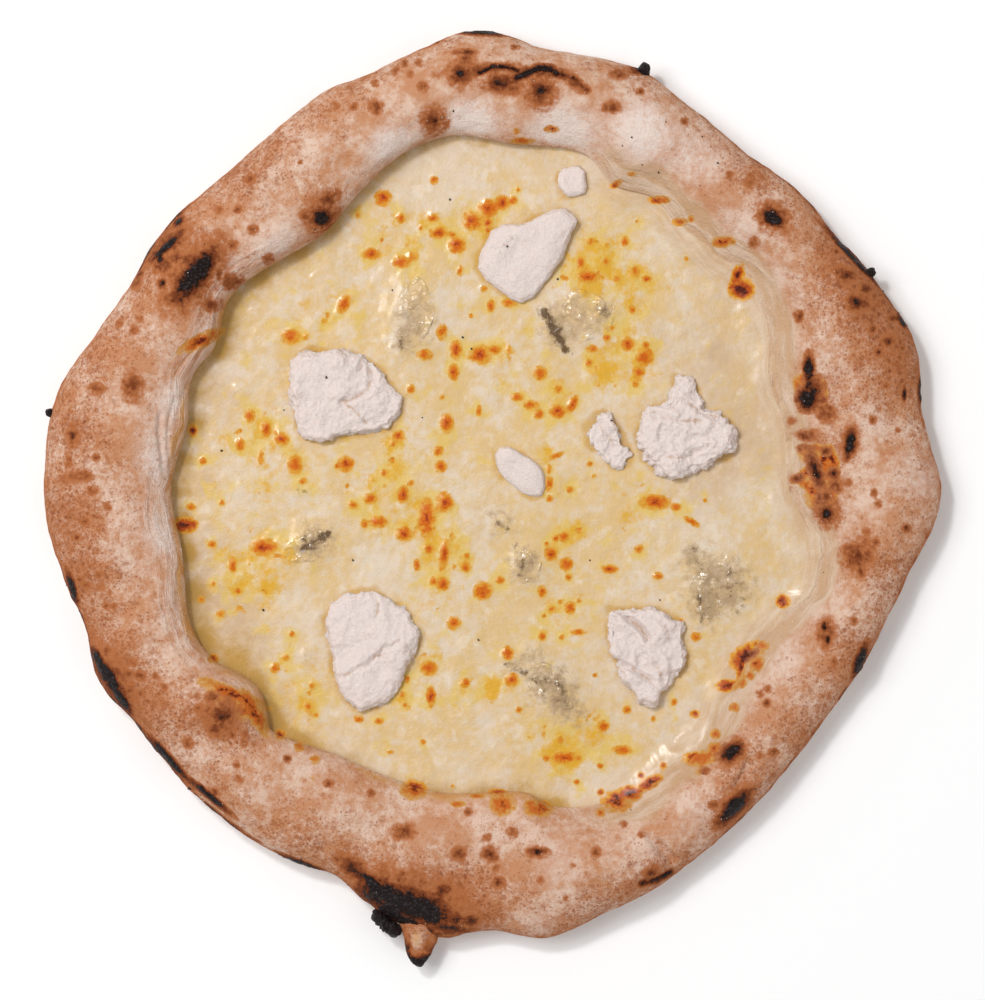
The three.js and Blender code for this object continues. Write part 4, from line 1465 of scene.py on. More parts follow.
@dataclass(frozen=True)
class RimForm:
    """The section of base and rim, which changes on the way round."""

    outer_edge: Knots = (
        (0, 159.9), (7, 157.6), (12, 156.2), (19, 160.5), (27, 158.8), (37, 154.1), (45, 155),
        (54, 153.4), (64, 157.5), (71, 161.8), (84, 162.4), (88, 165.5), (93, 167.3),
        (98.5, 163.3), (107, 158), (112, 157.6), (118, 154.1), (129, 150.4), (141, 151.6),
        (149, 150.3), (157, 153.2), (166, 159.7), (177, 160.2), (184, 158.7), (190, 155.4),
        (197, 152.4), (204, 154.4), (213, 149.9), (224, 149.2), (238, 147.8), (247, 145.3),
        (252, 149.6), (258, 154.6), (264, 157), (267, 154.4), (271, 153.7), (277, 157.2),
        (285, 153), (293, 150.3), (299, 147.1), (312, 143.5), (326, 141.8), (339, 145.5),
        (350, 150.6),
    )
    inner_edge: Knots = (
        (2, 106), (14, 107.4), (24, 108), (33, 116.7), (42, 119), (48, 115.6), (56, 118.3),
        (62, 122), (69, 120.4), (75, 127.4), (87, 127), (96, 130.4), (104, 127.6), (113, 119.6),
        (122, 112.4), (131, 113.6), (142, 118), (151, 112.9), (158, 115.2), (166, 112),
        (178, 114.3), (190, 111.8), (203, 116.1), (210, 114), (215, 108.6), (219.5, 107.2),
        (223, 110), (226, 113.6), (231, 110.6), (238, 106.6), (246, 105.4), (258, 106),
        (271, 103.8), (277, 105), (281, 111), (290, 115.2), (297, 115.8), (303, 113.4),
        (312, 112), (322, 106.6), (331, 106), (338, 110.2), (345, 116.3), (352, 115.5),
    )
    crest_height: Knots = (
        (0, 20.5), (30, 21.5), (60, 21.5), (90, 24), (120, 25), (150, 26), (185, 25), (215, 25),
        (240, 23), (262, 21.5), (280, 23), (305, 20.5), (335, 20),
    )
    crest_share: Knots = (
        (0, 0.6), (35, 0.6), (80, 0.55), (120, 0.5), (180, 0.5), (220, 0.48), (270, 0.52),
        (310, 0.56), (335, 0.6),
    )
    lip_share: Knots = (
        (0, 0), (40, 0), (62, 0.3), (84, 0.75), (105, 1), (150, 1), (200, 1), (228, 0.95),
        (250, 0.75), (276, 1), (288, 0.45), (308, 0.1), (335, 0),
    )
    edge_heat: Knots = (
        (0, 0.5), (20, 0.7), (32, 1.1), (45, 0.9), (55, 0.7), (62, 0.5), (80, 0.3), (95, 0.7),
        (110, 0.2), (128, 0.3), (138, 1.0), (146, 1.0), (152, 0.3), (165, 0.5), (178, 0.4),
        (190, 0.8), (204, 1.1), (215, 1.1), (228, 1.0), (240, 0.9), (255, 0.6), (270, 0.4),
        (285, 0.5), (300, 0.7), (315, 0.8), (330, 0.9), (345, 0.6),
    )
    mounds: tuple[Mound, ...] = (
        Mound(-106, 80, 24, 12, 52, 2.6),
        Mound(-75, 90, 14, 12, 0, 1.6),
        Mound(-93, -72, 24, 22, 0, 3.4),
        Mound(14, 151, 34, 9, -4, 1.8),
        Mound(-127, 20, 30, 22, 80, 1.4),
        Mound(-60, 128, 26, 20, 25, 1.2),
        Mound(128, 62, 38, 24, -60, 1.5),
        Mound(136, -22, 30, 20, 85, 1.3),
        Mound(30, -132, 34, 22, 10, 1.5),
        Mound(86, -107, 12, 7, 45, 1.4),
        Mound(61, -125, 17, 5, -54, -2.2),
        Mound(90, -97, 14, 5, 66, -1.2),
    )
    unevenness: float = 0.7
    base_thickness: float = 3.0
    foot_inset: float = 11.0
    girth_height: float = 9.5
    overhang: float = 3.6
    lip_height: float = 13.0
    slope_foot_height: float = 8.7
    slope_tuck: float = -0.9
    wall_top: float = 8.2
    wall_bend_inset: float = 1.5
    wall_bend_height: float = 5.6
    wall_foot_inset: float = 5.0
    fold_shift: float = 40.0

    def outer(self, angle: Array) -> Array:
        """Radius of the pizza's outline."""
        return ring_curve(self.outer_edge)(angle)

    def inner(self, angle: Array) -> Array:
        """Radius of the border between rim and cheese."""
        return ring_curve(self.inner_edge)(angle)

    def lip(self, angle: Array) -> Array:
        """1 where the rim leans over the cheese, 0 where it runs down into it."""
        return np.clip(ring_curve(self.lip_share)(angle), 0.0, 1.0)

    def crest(self, angle: Array) -> Array:
        """Radius of the rim's highest line."""
        return mix(self.inner(angle), self.outer(angle), ring_curve(self.crest_share)(angle))

    def wall(self, angle: Array) -> Array:
        """Radius of the basin's wall, which lies back under the lip."""
        return self.inner(angle) + mix(self.slope_tuck, self.overhang, self.lip(angle))

    def relief(self, x: Array, y: Array) -> Array:
        """Height that bubbles, dents and the dough's unevenness add to the rim."""
        uneven = np.sin(x / 11 + 0.4) * np.sin(y / 13 + 1.7) + 0.5 * np.sin((x - y) / 7)
        return sum((mound.height_at(x, y) for mound in self.mounds), self.unevenness * uneven)

    def pleats(self, points: Array) -> tuple[Array, Array]:
        """Where the dough is pleated along its inner edge.

        Args:
            points: places in millimetres.

        Returns:
            The distance across the pleats in millimetres, and how pleated each place is.
        """
        angle, radius = polar(points)
        inside = radius - self.inner(angle)
        drift = 2.8 * Grain(5).many(points, 18.0, 3) + 0.7 * Grain(6).many(points, 5.0, 2)
        left = 0.2 + 0.8 * smoothstep(-points[..., 0], 60.0, 105.0)
        low = smoothstep(points[..., 1], -90.0, -30.0)
        band = (1 - smoothstep(inside + 2.0 * drift, 5.0, 13.0)) * self.lip(angle)
        return inside + drift, band * left * low


class SectionPart(Enum):
    """The stretches of the rim's section, with the rows of mesh that each takes."""

    UNDERSIDE = 4
    FLANK_LOW = 10
    FLANK_HIGH = 34
    INNER_SIDE = 44
    UNDER_LIP = 5

    def shares(self, first: int = 0, last: int | None = None) -> list[float]:
        """How far along the stretch each of its rows lies, from 0 to 1."""
        end = self.value if last is None else last
        return [step / self.value for step in range(first, end)]


@dataclass
class BakedDough:
    """The base with its rim, one skin round the whole section."""

    form: RimForm
    columns: int = 960
    fold_width: float = 3.7
    fold_length: float = 20.0
    fold_depth: float = 0.6
    blister_depth: float = 0.8
    innermost_share: float = 0.35

    def section_rows(self) -> tuple[Array, Array]:
        """The skin's rows from under the middle round to the basin's floor.

        Returns:
            Points as rows by columns by 3 without the two poles, and for each point the share
            of relief it takes.
        """
        form = self.form
        angle = np.arange(self.columns) * 360.0 / self.columns
        cosine, sine = heading(angle)
        outer, inner, lip = form.outer(angle), form.inner(angle), form.lip(angle)
        crest, top = form.crest(angle), ring_curve(form.crest_height)(angle)
        nose, wall = mix(form.slope_foot_height, form.lip_height, lip), form.wall(angle)
        rows, weights = [], []

        def add(radius: Array, height: Array | float, weight: Array | float) -> None:
            """Adds one row of the section.

            Args:
                radius: distance from the middle at each angle.
                height: height at each angle.
                weight: share of the relief that the row takes.
            """
            spread = np.broadcast_to(height, radius.shape)
            rows.append(np.stack([radius * cosine, radius * sine, spread], axis=1))
            weights.append(np.broadcast_to(weight, radius.shape))

        for share in SectionPart.UNDERSIDE.shares(1):
            reach = self.innermost_share + (1 - self.innermost_share) * share
            add((outer - form.foot_inset) * reach, 0.0, 0.0)
        for share in SectionPart.FLANK_LOW.shares():
            turn = np.pi / 2 * share
            radius = outer - form.foot_inset * (1 - np.sin(turn))
            add(radius, form.girth_height * (1 - np.cos(turn)), 0.5 * np.sin(turn) ** 2)
        for share in SectionPart.FLANK_HIGH.shares():
            turn = np.pi / 2 * share
            radius = mix(crest, outer, np.cos(turn))
            relief = form.relief(radius * cosine, radius * sine) * np.sin(turn)
            add(radius, mix(form.girth_height, top, np.sin(turn)) + relief, 1.0)
        for share in SectionPart.INNER_SIDE.shares(0, SectionPart.INNER_SIDE.value + 1):
            turn = np.pi / 2 * share
            straight, round_in = mix(crest, inner, share), mix(crest, inner, np.sin(turn))
            radius = mix(straight, round_in, lip)
            slope = mix(nose, top, 0.5 + 0.5 * np.cos(np.pi * share))
            bend = mix(nose, top, np.cos(turn))
            held = 1 - mix(share, np.sin(turn) ** 3, lip)
            relief = form.relief(radius * cosine, radius * sine) * held
            add(radius, mix(slope, bend, lip) + relief, 0.35 + 0.65 * held)
        for share in SectionPart.UNDER_LIP.shares(1, SectionPart.UNDER_LIP.value + 1):
            turn = np.pi / 2 * share
            add(mix(wall, inner, np.cos(turn)), mix(nose, form.wall_top, np.sin(turn)), 0.0)
        add(wall - form.wall_bend_inset, form.wall_bend_height, 0.0)
        add(wall - form.wall_foot_inset, form.base_thickness, 0.0)
        return np.stack(rows), np.stack(weights)

    def outward(self, rows: Array) -> Array:
        """The way out of the skin.

        Args:
            rows: the skin's points as rows by columns by 3.

        Returns:
            A unit vector for each point.
        """
        round_way = np.roll(rows, -1, axis=1) - np.roll(rows, 1, axis=1)
        normal = np.cross(round_way, np.gradient(rows, axis=0))
        return normal / np.maximum(np.linalg.norm(normal, axis=2, keepdims=True), 1e-9)

    def pleats(self, rows: Array) -> Array:
        """Broad folds that run along the inner edge where the dough leans over the cheese.

        Args:
            rows: the skin's points as rows by columns by 3.

        Returns:
            How far out each point is moved.
        """
        fold, pleated = self.form.pleats(rows)
        pleated = pleated * (rows[..., 2] > self.form.wall_top)
        along = [rows[..., 0] / self.fold_length, rows[..., 1] / self.fold_length]
        spot = np.stack([fold / self.fold_width, *along], axis=-1)
        return pleated * self.fold_depth * Grain(7).many(spot, 0.5, 2)

    def shaped_rows(self) -> Array:
        """The rows with the dough's fine relief: puckers, pleats, blisters and splits.

        Returns:
            The moved points as rows by columns by 3.
        """
        rows, weights = self.section_rows()
        pucker = 0.7 * Grain(1).many(rows, 13.0, 3) + 0.25 * Grain(2).many(rows, 3.2, 2)
        pucker = pucker - 0.35 * smoothstep(rows[..., 2], 12.0, 22.0)
        x, y = PHOTO.seen(rows)
        upper = rows[..., 2] > self.form.girth_height
        burnt = smoothstep(mark_field(x, y, CHARRED) * upper, 0.35, 0.85)
        blister = self.blister_depth * burnt * (0.4 + Grain(3).many(rows, 2.4, 3))
        split = sum(trace_field(x, y, trace, width) * depth for trace, width, depth in SPLITS)
        moved = weights * (pucker + blister - split * upper) + self.pleats(rows)
        return rows + self.outward(rows) * moved[..., None]

    def faces(self, row_count: int) -> list[tuple[int, ...]]:
        """The skin's faces.

        Args:
            row_count: how many rows the skin has.

        Returns:
            Two fans at the poles and quads between the rows.
        """
        columns = self.columns
        first_pole, last_pole = row_count * columns, row_count * columns + 1
        last = (row_count - 1) * columns
        made: list[tuple[int, ...]] = []
        for column in range(columns):
            following = (column + 1) % columns
            made.append((first_pole, following, column))
            made.append((last + column, last + following, last_pole))
        return made + quads(row_count, columns, closed=True)

    def build(self, rows: Array) -> Piece:
        """The dough's piece with the fields that its finish reads.

        Args:
            rows: the shaped rows.

        Returns:
            The piece.
        """
        poles = np.array([[0.0, 0.0, 0.0], [0.0, 0.0, self.form.base_thickness]])
        points = np.concatenate([rows.reshape(-1, 3), poles])
        piece = new_piece("baked_dough", points, self.faces(len(rows)))
        give_dough_fields(piece, points, self.form)
        return piece


def give_dough_fields(piece: Piece, points: Array, form: RimForm) -> None:
    """Stores where the dough is toasted, burnt, floury, filmed with melt, yellowed with painted
    shade along the lip, or scorched red.

    Args:
        piece: a piece of dough.
        points: its vertices in millimetres.
        form: the rim that it belongs to.
    """
    x, y = PHOTO.seen(points)
    angle, radius = polar(points)
    height, inside, lip = points[:, 2], radius - form.inner(angle), form.lip(angle)
    share = inside / (form.outer(angle) - form.inner(angle))
    upper = smoothstep(height, form.girth_height - 3.0, form.girth_height + 1.0)
    under = 1 - upper
    spots = Grain(8).many(points, 9.0, 3)
    toast = 0.1 + 0.38 * smoothstep(share, 0.45, 1.0) + zone_field(x, y, TOAST_ZONES)
    toast = mix(0.25 + 0.9 * smoothstep(spots, 0.0, 0.5), toast, upper)
    heat = np.minimum(0.8 * mark_field(x, y, BROWNED), 0.66)
    heat = np.maximum(heat, 1.5 * mark_field(x, y, CHARRED))
    heat = np.maximum(heat, 1.08 * mark_field(x, y, DARKENED))
    rim_line = smoothstep(share, 0.93, 1.0) * smoothstep(height, 6.0, 12.0)
    frayed = 0.75 + 0.9 * Grain(9).many(points, 6.0, 3)
    heat = np.maximum(heat, rim_line * frayed * ring_curve(form.edge_heat)(angle))
    heat = np.maximum(heat, lines_field(x, y, CHAR_LINES, 1.5))
    leopard = 0.9 * smoothstep(spots, 0.28, 0.6)
    floury = zone_field(x, y, FLOUR_ZONES) * upper * smoothstep(share, -0.05, 0.1)
    ragged = 4.0 * Grain(26).many(points, 12.0, 3)
    lapped = (1 - smoothstep(inside + ragged, 5.0, 13.0)) * (1 - smoothstep(lip, 0.2, 0.7))
    film = lapped + 0.5 * np.clip(zone_field(x, y, FILM_ZONES), 0.0, 1.1)
    # The band is kept to the left and lower lip, where the wall lies in shade: partly cheese
    # staining, partly painted shade.
    side = np.maximum(smoothstep(-points[:, 0], 50.0, 95.0), smoothstep(-points[:, 1], 80.0, 100.0))
    stained_and_shaded = (1 - smoothstep(inside + 0.6 * ragged, 0.0, 4.2)) * smoothstep(lip, 0.4, 0.9) * side
    on_lip = smoothstep(height, form.lip_height - 2.0, form.lip_height + 1.0)
    amber = np.clip(zone_field(x, y, AMBER_ZONES), 0.0, 0.8)
    ember = np.maximum(1.05 * mark_field(x, y, SCORCHED), amber)
    ember = np.maximum(ember, lines_field(x, y, EMBER_LINES, 1.5))
    fold, pleated = form.pleats(points)
    give_fields(
        piece,
        toast=toast,
        burn=mix(leopard * under, heat, upper),
        flour=np.clip(floury, 0.0, 1.2) + 0.3 * under,
        film=film * upper,
        stain_and_shade=stained_and_shaded * on_lip,
        ember=ember * upper,
        fold=np.clip(fold + form.fold_shift, 0.0, None),
        pleated=pleated * upper,
    )


@dataclass
class EdgeBurns:
    """The burnt pieces that stand out of the rim's outer edge."""

    form: RimForm
    blister_place: Triple = (-37.9, -150.6, 9.5)
    blister_half: Triple = (7.0, 5.2, 5.8)
    blister_turn: float = -38.0
    spike_place: Triple = (-25.6, -151.2, 9.0)
    spike_half: Triple = (8.2, 16.1, 6.0)
    spike_turn: float = -3.0
    spike_taper: float = 0.34
    nubs: tuple[tuple[float, float, Triple], ...] = (
        (70.6, 162.2, (3.4, 2.6, 3.0)),
        (31.0, 156.8, (2.4, 2.0, 2.4)),
        (168.8, 160.6, (2.0, 1.8, 2.0)),
        (223.6, 147.2, (2.6, 1.8, 2.4)),
    )
    nub_height: float = 12.0
    black: float = 1.4

    def rough(self, points: Array, cell: float, depth: float, seed: int) -> Array:
        """Points pushed in and out by noise, as burnt dough is.

        Args:
            points: places in millimetres.
            cell: size of the lumps.
            depth: how far they stand out.
            seed: the noise's seed.

        Returns:
            The moved points.
        """
        away = points - points.mean(axis=0)
        away = away / np.maximum(np.linalg.norm(away, axis=1, keepdims=True), 1e-9)
        return points + away * (depth * Grain(seed).many(points, cell, 3)[:, None] - 0.5 * depth)

    def dress(
        self, piece: Piece, points: Array, heat: Array | float, pale: Array | float = 0.0
    ) -> Piece:
        """Sets a piece's points and how burnt and how pale it is.

        Args:
            piece: the piece.
            points: its places in millimetres.
            heat: how burnt it is at each point.
            pale: how floury it is at each point.

        Returns:
            The piece.
        """
        set_points(piece, points)
        give_dough_fields(piece, points, self.form)
        tint = 0.75 * np.asarray(pale)
        for name, value in (("burn", heat), ("toast", 1 - tint), ("flour", tint), ("stain_and_shade", tint)):
            spread = np.broadcast_to(value, len(points)).astype(np.float32)
            piece.data.attributes[name].data.foreach_set("value", spread)
        return piece

    def blister(self) -> Piece:
        """The shiny black blister.

        Returns:
            The piece.
        """
        piece, points = pebble("burnt_blister", 5)
        points = turned(points * np.array(self.blister_half), self.blister_turn)
        points = self.rough(points + np.array(self.blister_place), 4.6, 3.4, 11)
        return self.dress(piece, points, self.black)

    def spike(self) -> Piece:
        """The pointed flap of dough, pale in its middle and burnt at its tip.

        Returns:
            The piece.
        """
        piece, points = pebble("burnt_spike", 6)
        reach = np.maximum(0.0, -points[:, 1])
        left = smoothstep(-points[:, 0], 0.1, 0.7)
        right = smoothstep(points[:, 0], 0.05, 0.6)
        heat = 0.3 + 1.2 * smoothstep(reach, 0.66, 0.9) + 0.6 * left * smoothstep(reach, 0.3, 0.6)
        heat = heat + 0.45 * right * smoothstep(reach, 0.2, 0.6)
        pale = np.exp(-(((reach - 0.36) / 0.26) ** 2) - ((points[:, 0] + 0.15) / 0.36) ** 2)
        pale = pale * smoothstep(points[:, 2], -0.1, 0.3)
        heat = heat * (1 - 0.95 * pale)
        points[:, 0] *= 1 - self.spike_taper * reach
        points[:, 2] *= 1 - self.spike_taper * reach
        points = turned(points * np.array(self.spike_half), self.spike_turn)
        points = self.rough(points + np.array(self.spike_place), 5.0, 1.3, 12)
        return self.dress(piece, points, heat, pale)

    def nub(self, number: int) -> Piece:
        """One of the small burnt nubs on the outline.

        Args:
            number: its place in the list of nubs.

        Returns:
            The piece.
        """
        angle, radius, half = self.nubs[number]
        piece, points = pebble(f"burnt_nub_{number + 1}", 4)
        cosine, sine = heading(angle)
        points = turned(points * np.array(half), angle)
        points = points + np.array([radius * cosine, radius * sine, self.nub_height])
        return self.dress(piece, self.rough(points, 1.6, 0.7, 13 + number), self.black)

    def build(self) -> list[Piece]:
        """All the burnt pieces."""
        return [self.blister(), self.spike(), *(self.nub(k) for k in range(len(self.nubs)))]


# ---------------- the melted cheese


@dataclass(frozen=True)
class BlueLump:
    """A half-melted lump of blue cheese: node, place, length, width, turn of the length."""

    node: str
    x: float
    y: float
    length: float
    width: float
    turn: float

    def mound(self, spread: float, rise: float) -> Mound:
        """A mound over the lump, so many times its size."""
        return Mound(self.x, self.y, spread * self.length, spread * self.width, self.turn, rise)


BLUE_LUMPS = (
    BlueLump("blue_upper", 30.6, 66.2, 26, 19, -8),
    BlueLump("blue_upper_left", -27.6, 67.2, 25, 14, 84),
    BlueLump("blue_lower", 21.4, -66.4, 23, 14, -38),
    BlueLump("blue_right", 80.3, -30.6, 27, 19, 74),
    BlueLump("blue_left", -66, -16.6, 18, 11, 28),
    BlueLump("blue_middle", 12.2, -23.8, 13, 11, 60),
)
# Each curd's node with how far its clumps and its grains stand out, in millimetres.
CURDS = (
    ("curd_top_slab", 0.8, 0.15),
    ("curd_left_lump", 2.2, 0.35),
    ("curd_lower_left_slab", 1.9, 0.25),
    ("curd_lower_right_fold", 2.6, 0.2),
    ("curd_right_crumble", 3.2, 0.6),
    ("curd_small_crumble", 3.2, 0.5),
    ("curd_middle_drop", 0.3, 0.05),
    ("curd_top_drop", 1.2, 0.1),
)


@dataclass
class MeltedCheese:
    """The pool of melt, one closed body that fills the basin and laps on the slopes."""

    form: RimForm
    curd_plans: list[Array]
    dough_rows: Array
    cells: int = 296
    top: float = 7.3
    edge: float = 8.8
    crown: float = 0.5
    crown_radius: float = 106.0
    swell: float = 0.32
    blue_spread: float = 1.4
    blue_rise: float = 1.35
    blister_rise: float = 0.4
    lap: float = 3.0
    sunk: float = 0.12
    under_lip: float = 0.6
    edge_noise_radius: float = 110.0
    settling: float = 12.0
    bend_inset: float = 2.05
    bend_height: float = 5.75
    foot_inset: float = 5.15
    foot_height: float = 3.35
    oil_and_shade_reach: float = 3.4
    farthest_curd: float = 9.0

    def height(self, x: Array, y: Array) -> Array:
        """Height of the melt away from its edge: swells, fine relief, blisters and sunk lumps.

        Args:
            x: x of each place.
            y: y of each place.

        Returns:
            The height at each place.
        """
        swell = np.sin(x / 15 + 0.6) * np.cos(y / 13 - 0.4) + 0.6 * np.sin((x + y) / 9 + 1.1)
        height = self.top + self.swell * swell
        height += self.crown * (1 - (x**2 + y**2) / self.crown_radius**2)
        for lump in BLUE_LUMPS:
            height += lump.mound(self.blue_spread, self.blue_rise).height_at(x, y)
        points = np.stack([x, y, np.zeros_like(x)], axis=-1)
        relief = 0.5 * Grain(22).many(points, 8.0, 3) + 0.16 * Grain(23).many(points, 2.6, 2)
        photo_x, photo_y = PHOTO.seen(points + np.array([0.0, 0.0, self.top]))
        blisters = smoothstep(mark_field(photo_x, photo_y, GOLDEN), 0.3, 0.9)
        lumps = np.zeros_like(x)
        for lump_x, lump_y, radius, rise in SUNK_LUMPS:
            away = np.hypot(photo_x - lump_x, photo_y - lump_y) / radius
            lumps = np.maximum(lumps, rise * np.exp(-(away**2) * (1.0 + 0.8 * relief)))
        return height + relief + self.blister_rise * blisters + lumps

    def border(self, angle: Array) -> tuple[Array, Array]:
        """Radius and height of the melt's edge.

        Args:
            angle: angles in degrees.

        Returns:
            The radius and the height at each angle.
        """
        columns = self.dough_rows.shape[1]
        table = np.arange(columns) * 360.0 / columns
        lip = self.form.lip(table)
        around = np.stack(heading(table), axis=1) * self.edge_noise_radius
        frayed = 4.0 * Grain(21).many(np.column_stack([around, np.zeros(columns)]), 9.0, 4, 0.6)
        lapped = self.form.inner(table) + self.lap + frayed
        tucked = self.form.wall(table) + self.under_lip
        radius = mix(lapped, tucked, smoothstep(lip, 0.1, 0.7))
        below = (SectionPart.UNDERSIDE, SectionPart.FLANK_LOW, SectionPart.FLANK_HIGH)
        first = sum(part.value for part in below) - 1
        slope = self.dough_rows[first : first + SectionPart.INNER_SIDE.value + 1]
        reach = np.hypot(slope[..., 0], slope[..., 1])
        dough = [np.interp(radius[k], reach[::-1, k], slope[::-1, k, 2]) for k in range(columns)]
        height = mix(np.array(dough) - self.sunk, self.edge, smoothstep(lip, 0.05, 0.5))
        turned_on = np.mod(angle, 360.0)
        return (
            np.interp(turned_on, table, radius, period=360.0),
            np.interp(turned_on, table, height, period=360.0),
        )

    def top_points(self) -> Array:
        """The melt's upper surface with all its relief: a square grid bent to fill the basin.

        Returns:
            Its points as rows by columns by 3.
        """
        line = np.linspace(-1.0, 1.0, self.cells + 1)
        across, along = np.meshgrid(line, line)
        disc = [across * np.sqrt(1 - along**2 / 2), along * np.sqrt(1 - across**2 / 2)]
        angle, share = polar(np.stack(disc, axis=-1))
        share = np.minimum(share, 1.0)
        radius, edge_height = self.border(angle)
        cosine, sine = heading(angle)
        x, y = radius * share * cosine, radius * share * sine
        settled = smoothstep((1 - share) * radius, 0.0, self.settling)
        return np.stack([x, y, mix(edge_height, self.height(x, y), settled)], axis=-1)

    def build(self) -> Piece:
        """The melt's piece with the fields that its finish reads.

        Returns:
            The piece.
        """
        top = self.top_points()
        count = top.shape[0]
        points = top.reshape(-1, 3)
        made, numbers = quads(count, count, closed=False), np.arange(count**2).reshape(count, -1)
        sides = (numbers[0, :-1], numbers[:-1, -1], numbers[-1, :0:-1], numbers[:0:-1, 0])
        border = np.concatenate(sides).tolist()
        angle = polar(points[border])[0]
        direction, wall = np.stack(heading(angle), axis=1), self.form.wall(angle)
        rings = [
            np.column_stack([direction * (wall - inset)[:, None], np.full(len(border), height)])
            for inset, height in (
                (self.bend_inset, self.bend_height), (self.foot_inset, self.foot_height),
            )
        ]
        points = np.concatenate([points, *rings, [[0.0, 0.0, self.foot_height]]])
        bend, foot = count**2, count**2 + len(border)
        middle = foot + len(border)
        for k in range(len(border)):
            n = (k + 1) % len(border)
            made.append((bend + k, bend + n, border[n], border[k]))
            made.append((foot + k, foot + n, bend + n, bend + k))
            made.append((middle, foot + n, foot + k))
        piece = new_piece("melted_pool", points, made)
        self.give_fields(piece, points)
        return piece

    def give_fields(self, piece: Piece, points: Array) -> None:
        """Stores the melt's staining and oil rings, both partly painted shade, where it is lapped
        and creased, and its shared fields.

        Args:
            piece: the melt.
            points: its vertices in millimetres.
        """
        give_melt_fields(piece, points)
        angle, radius = polar(points)
        gap, lip = self.form.inner(angle) - radius, self.form.lip(angle)
        # Band under the leaning lip: partly oil staining, partly painted shadow of the lip.
        stain_and_shade = (1 - smoothstep(gap, -1.0, 8.0)) * smoothstep(lip, 0.4, 0.9)
        ragged = 5.0 * Grain(25).many(points, 9.0, 3)
        lapped = (1 - smoothstep(gap + ragged, -2.0, 12.0)) * (1 - smoothstep(lip, 0.2, 0.7))
        fold = self.form.pleats(points)[0] + self.form.fold_shift
        # Ring round each curd: partly pooled oil, partly painted contact shade.
        wander = 0.7 + 3.2 * Grain(27).many(points, 8.0, 3)
        away = self.curd_distance(points) + wander
        give_fields(
            piece,
            stain_and_shade=0.8 * stain_and_shade + zone_field(*PHOTO.seen(points), STAIN_AND_SHADE_ZONES),
            lapped=lapped,
            fold=np.clip(fold, 0.0, None),
            oil=1 - smoothstep(away, 0.0, self.oil_and_shade_reach),
        )

    def curd_distance(self, points: Array) -> Array:
        """Distance from each place to the nearest curd, seen from above.

        Args:
            points: places in millimetres.

        Returns:
            The distances, none above `farthest_curd`.
        """
        nearest = np.full(len(points), self.farthest_curd)
        for plan in self.curd_plans:
            low, high = plan.min(axis=0) - self.farthest_curd, plan.max(axis=0) + self.farthest_curd
            near = np.flatnonzero(((points[:, :2] > low) & (points[:, :2] < high)).all(axis=1))
            gaps = points[near, None, :2] - plan[None, :, :]
            away = np.hypot(gaps[..., 0], gaps[..., 1]).min(axis=1)
            nearest[near] = np.minimum(nearest[near], away)
        return nearest


def give_melt_fields(piece: Piece, points: Array) -> None:
    """Stores the colour fields that the melt and the blue cheese share.

    Args:
        piece: the melt or a lump of blue cheese.
        points: its vertices in millimetres.
    """
    x, y = PHOTO.seen(points)
    small = Grain(24).many(points, 3.2, 2)
    yellow, marks = zone_field(x, y, YELLOW_ZONES), mark_field(x, y, GOLDEN)
    scattered = 0.8 * smoothstep(small, 0.36, 0.62) * yellow
    golden = np.clip(1.35 * marks - 0.33, 0.0, None)
    glow = zone_field(x, y, [(*mark[:2], 1.1 * mark[2] + 4.0, 0.8) for mark in GOLDEN])
    haze = zone_field(x, y, HAZE_ZONES)
    for lump in BLUE_LUMPS:
        haze = haze + lump.mound(1.1, 0.55).height_at(points[:, 0], points[:, 1])
    give_fields(
        piece,
        golden=np.maximum(golden, np.clip(scattered, 0.0, 0.5)),
        ember=1.25 * mark_field(x, y, SCORCHED),
        glow=np.clip(glow, 0.0, 1.3),
        yellow=yellow,
        cream=zone_field(x, y, CREAM_ZONES),
        pool=zone_field(x, y, POOL_ZONES),
        haze=haze,
        vein=lines_field(x, y, VEINS, 2.0),
    )


@dataclass
class BlueCheese:
    """The lumps of blue cheese that show through the melt."""

    nodes: dict[str, Piece]
    melt: MeltedCheese
    voxel: float = 0.55
    smoothing: int = 6
    lumpiness: float = 1.7

    def build(self) -> list[Piece]:
        """A finely meshed, veined piece for each lump.

        Returns:
            The pieces, in the order of the lumps.
        """
        made = []
        for number, lump in enumerate(BLUE_LUMPS):
            name = lump.node + "_veined"
            piece = voxel_copy(self.nodes[lump.node], name, self.voxel, self.smoothing)
            points = points_of(piece)
            skin = self.melt.height(points[:, 0], points[:, 1])
            knobs = skin + self.lumpiness * Grain(40 + number).many(points, 3.6, 4, 0.6)
            points[:, 2] = mix(points[:, 2], knobs, smoothstep(points[:, 2] - skin, -1.6, -0.5))
            set_points(piece, points)
            give_melt_fields(piece, points)
            none = np.zeros(len(points))
            give_fields(piece, stain_and_shade=none, lapped=none, fold=none, oil=none)
            made.append(piece)
        return made


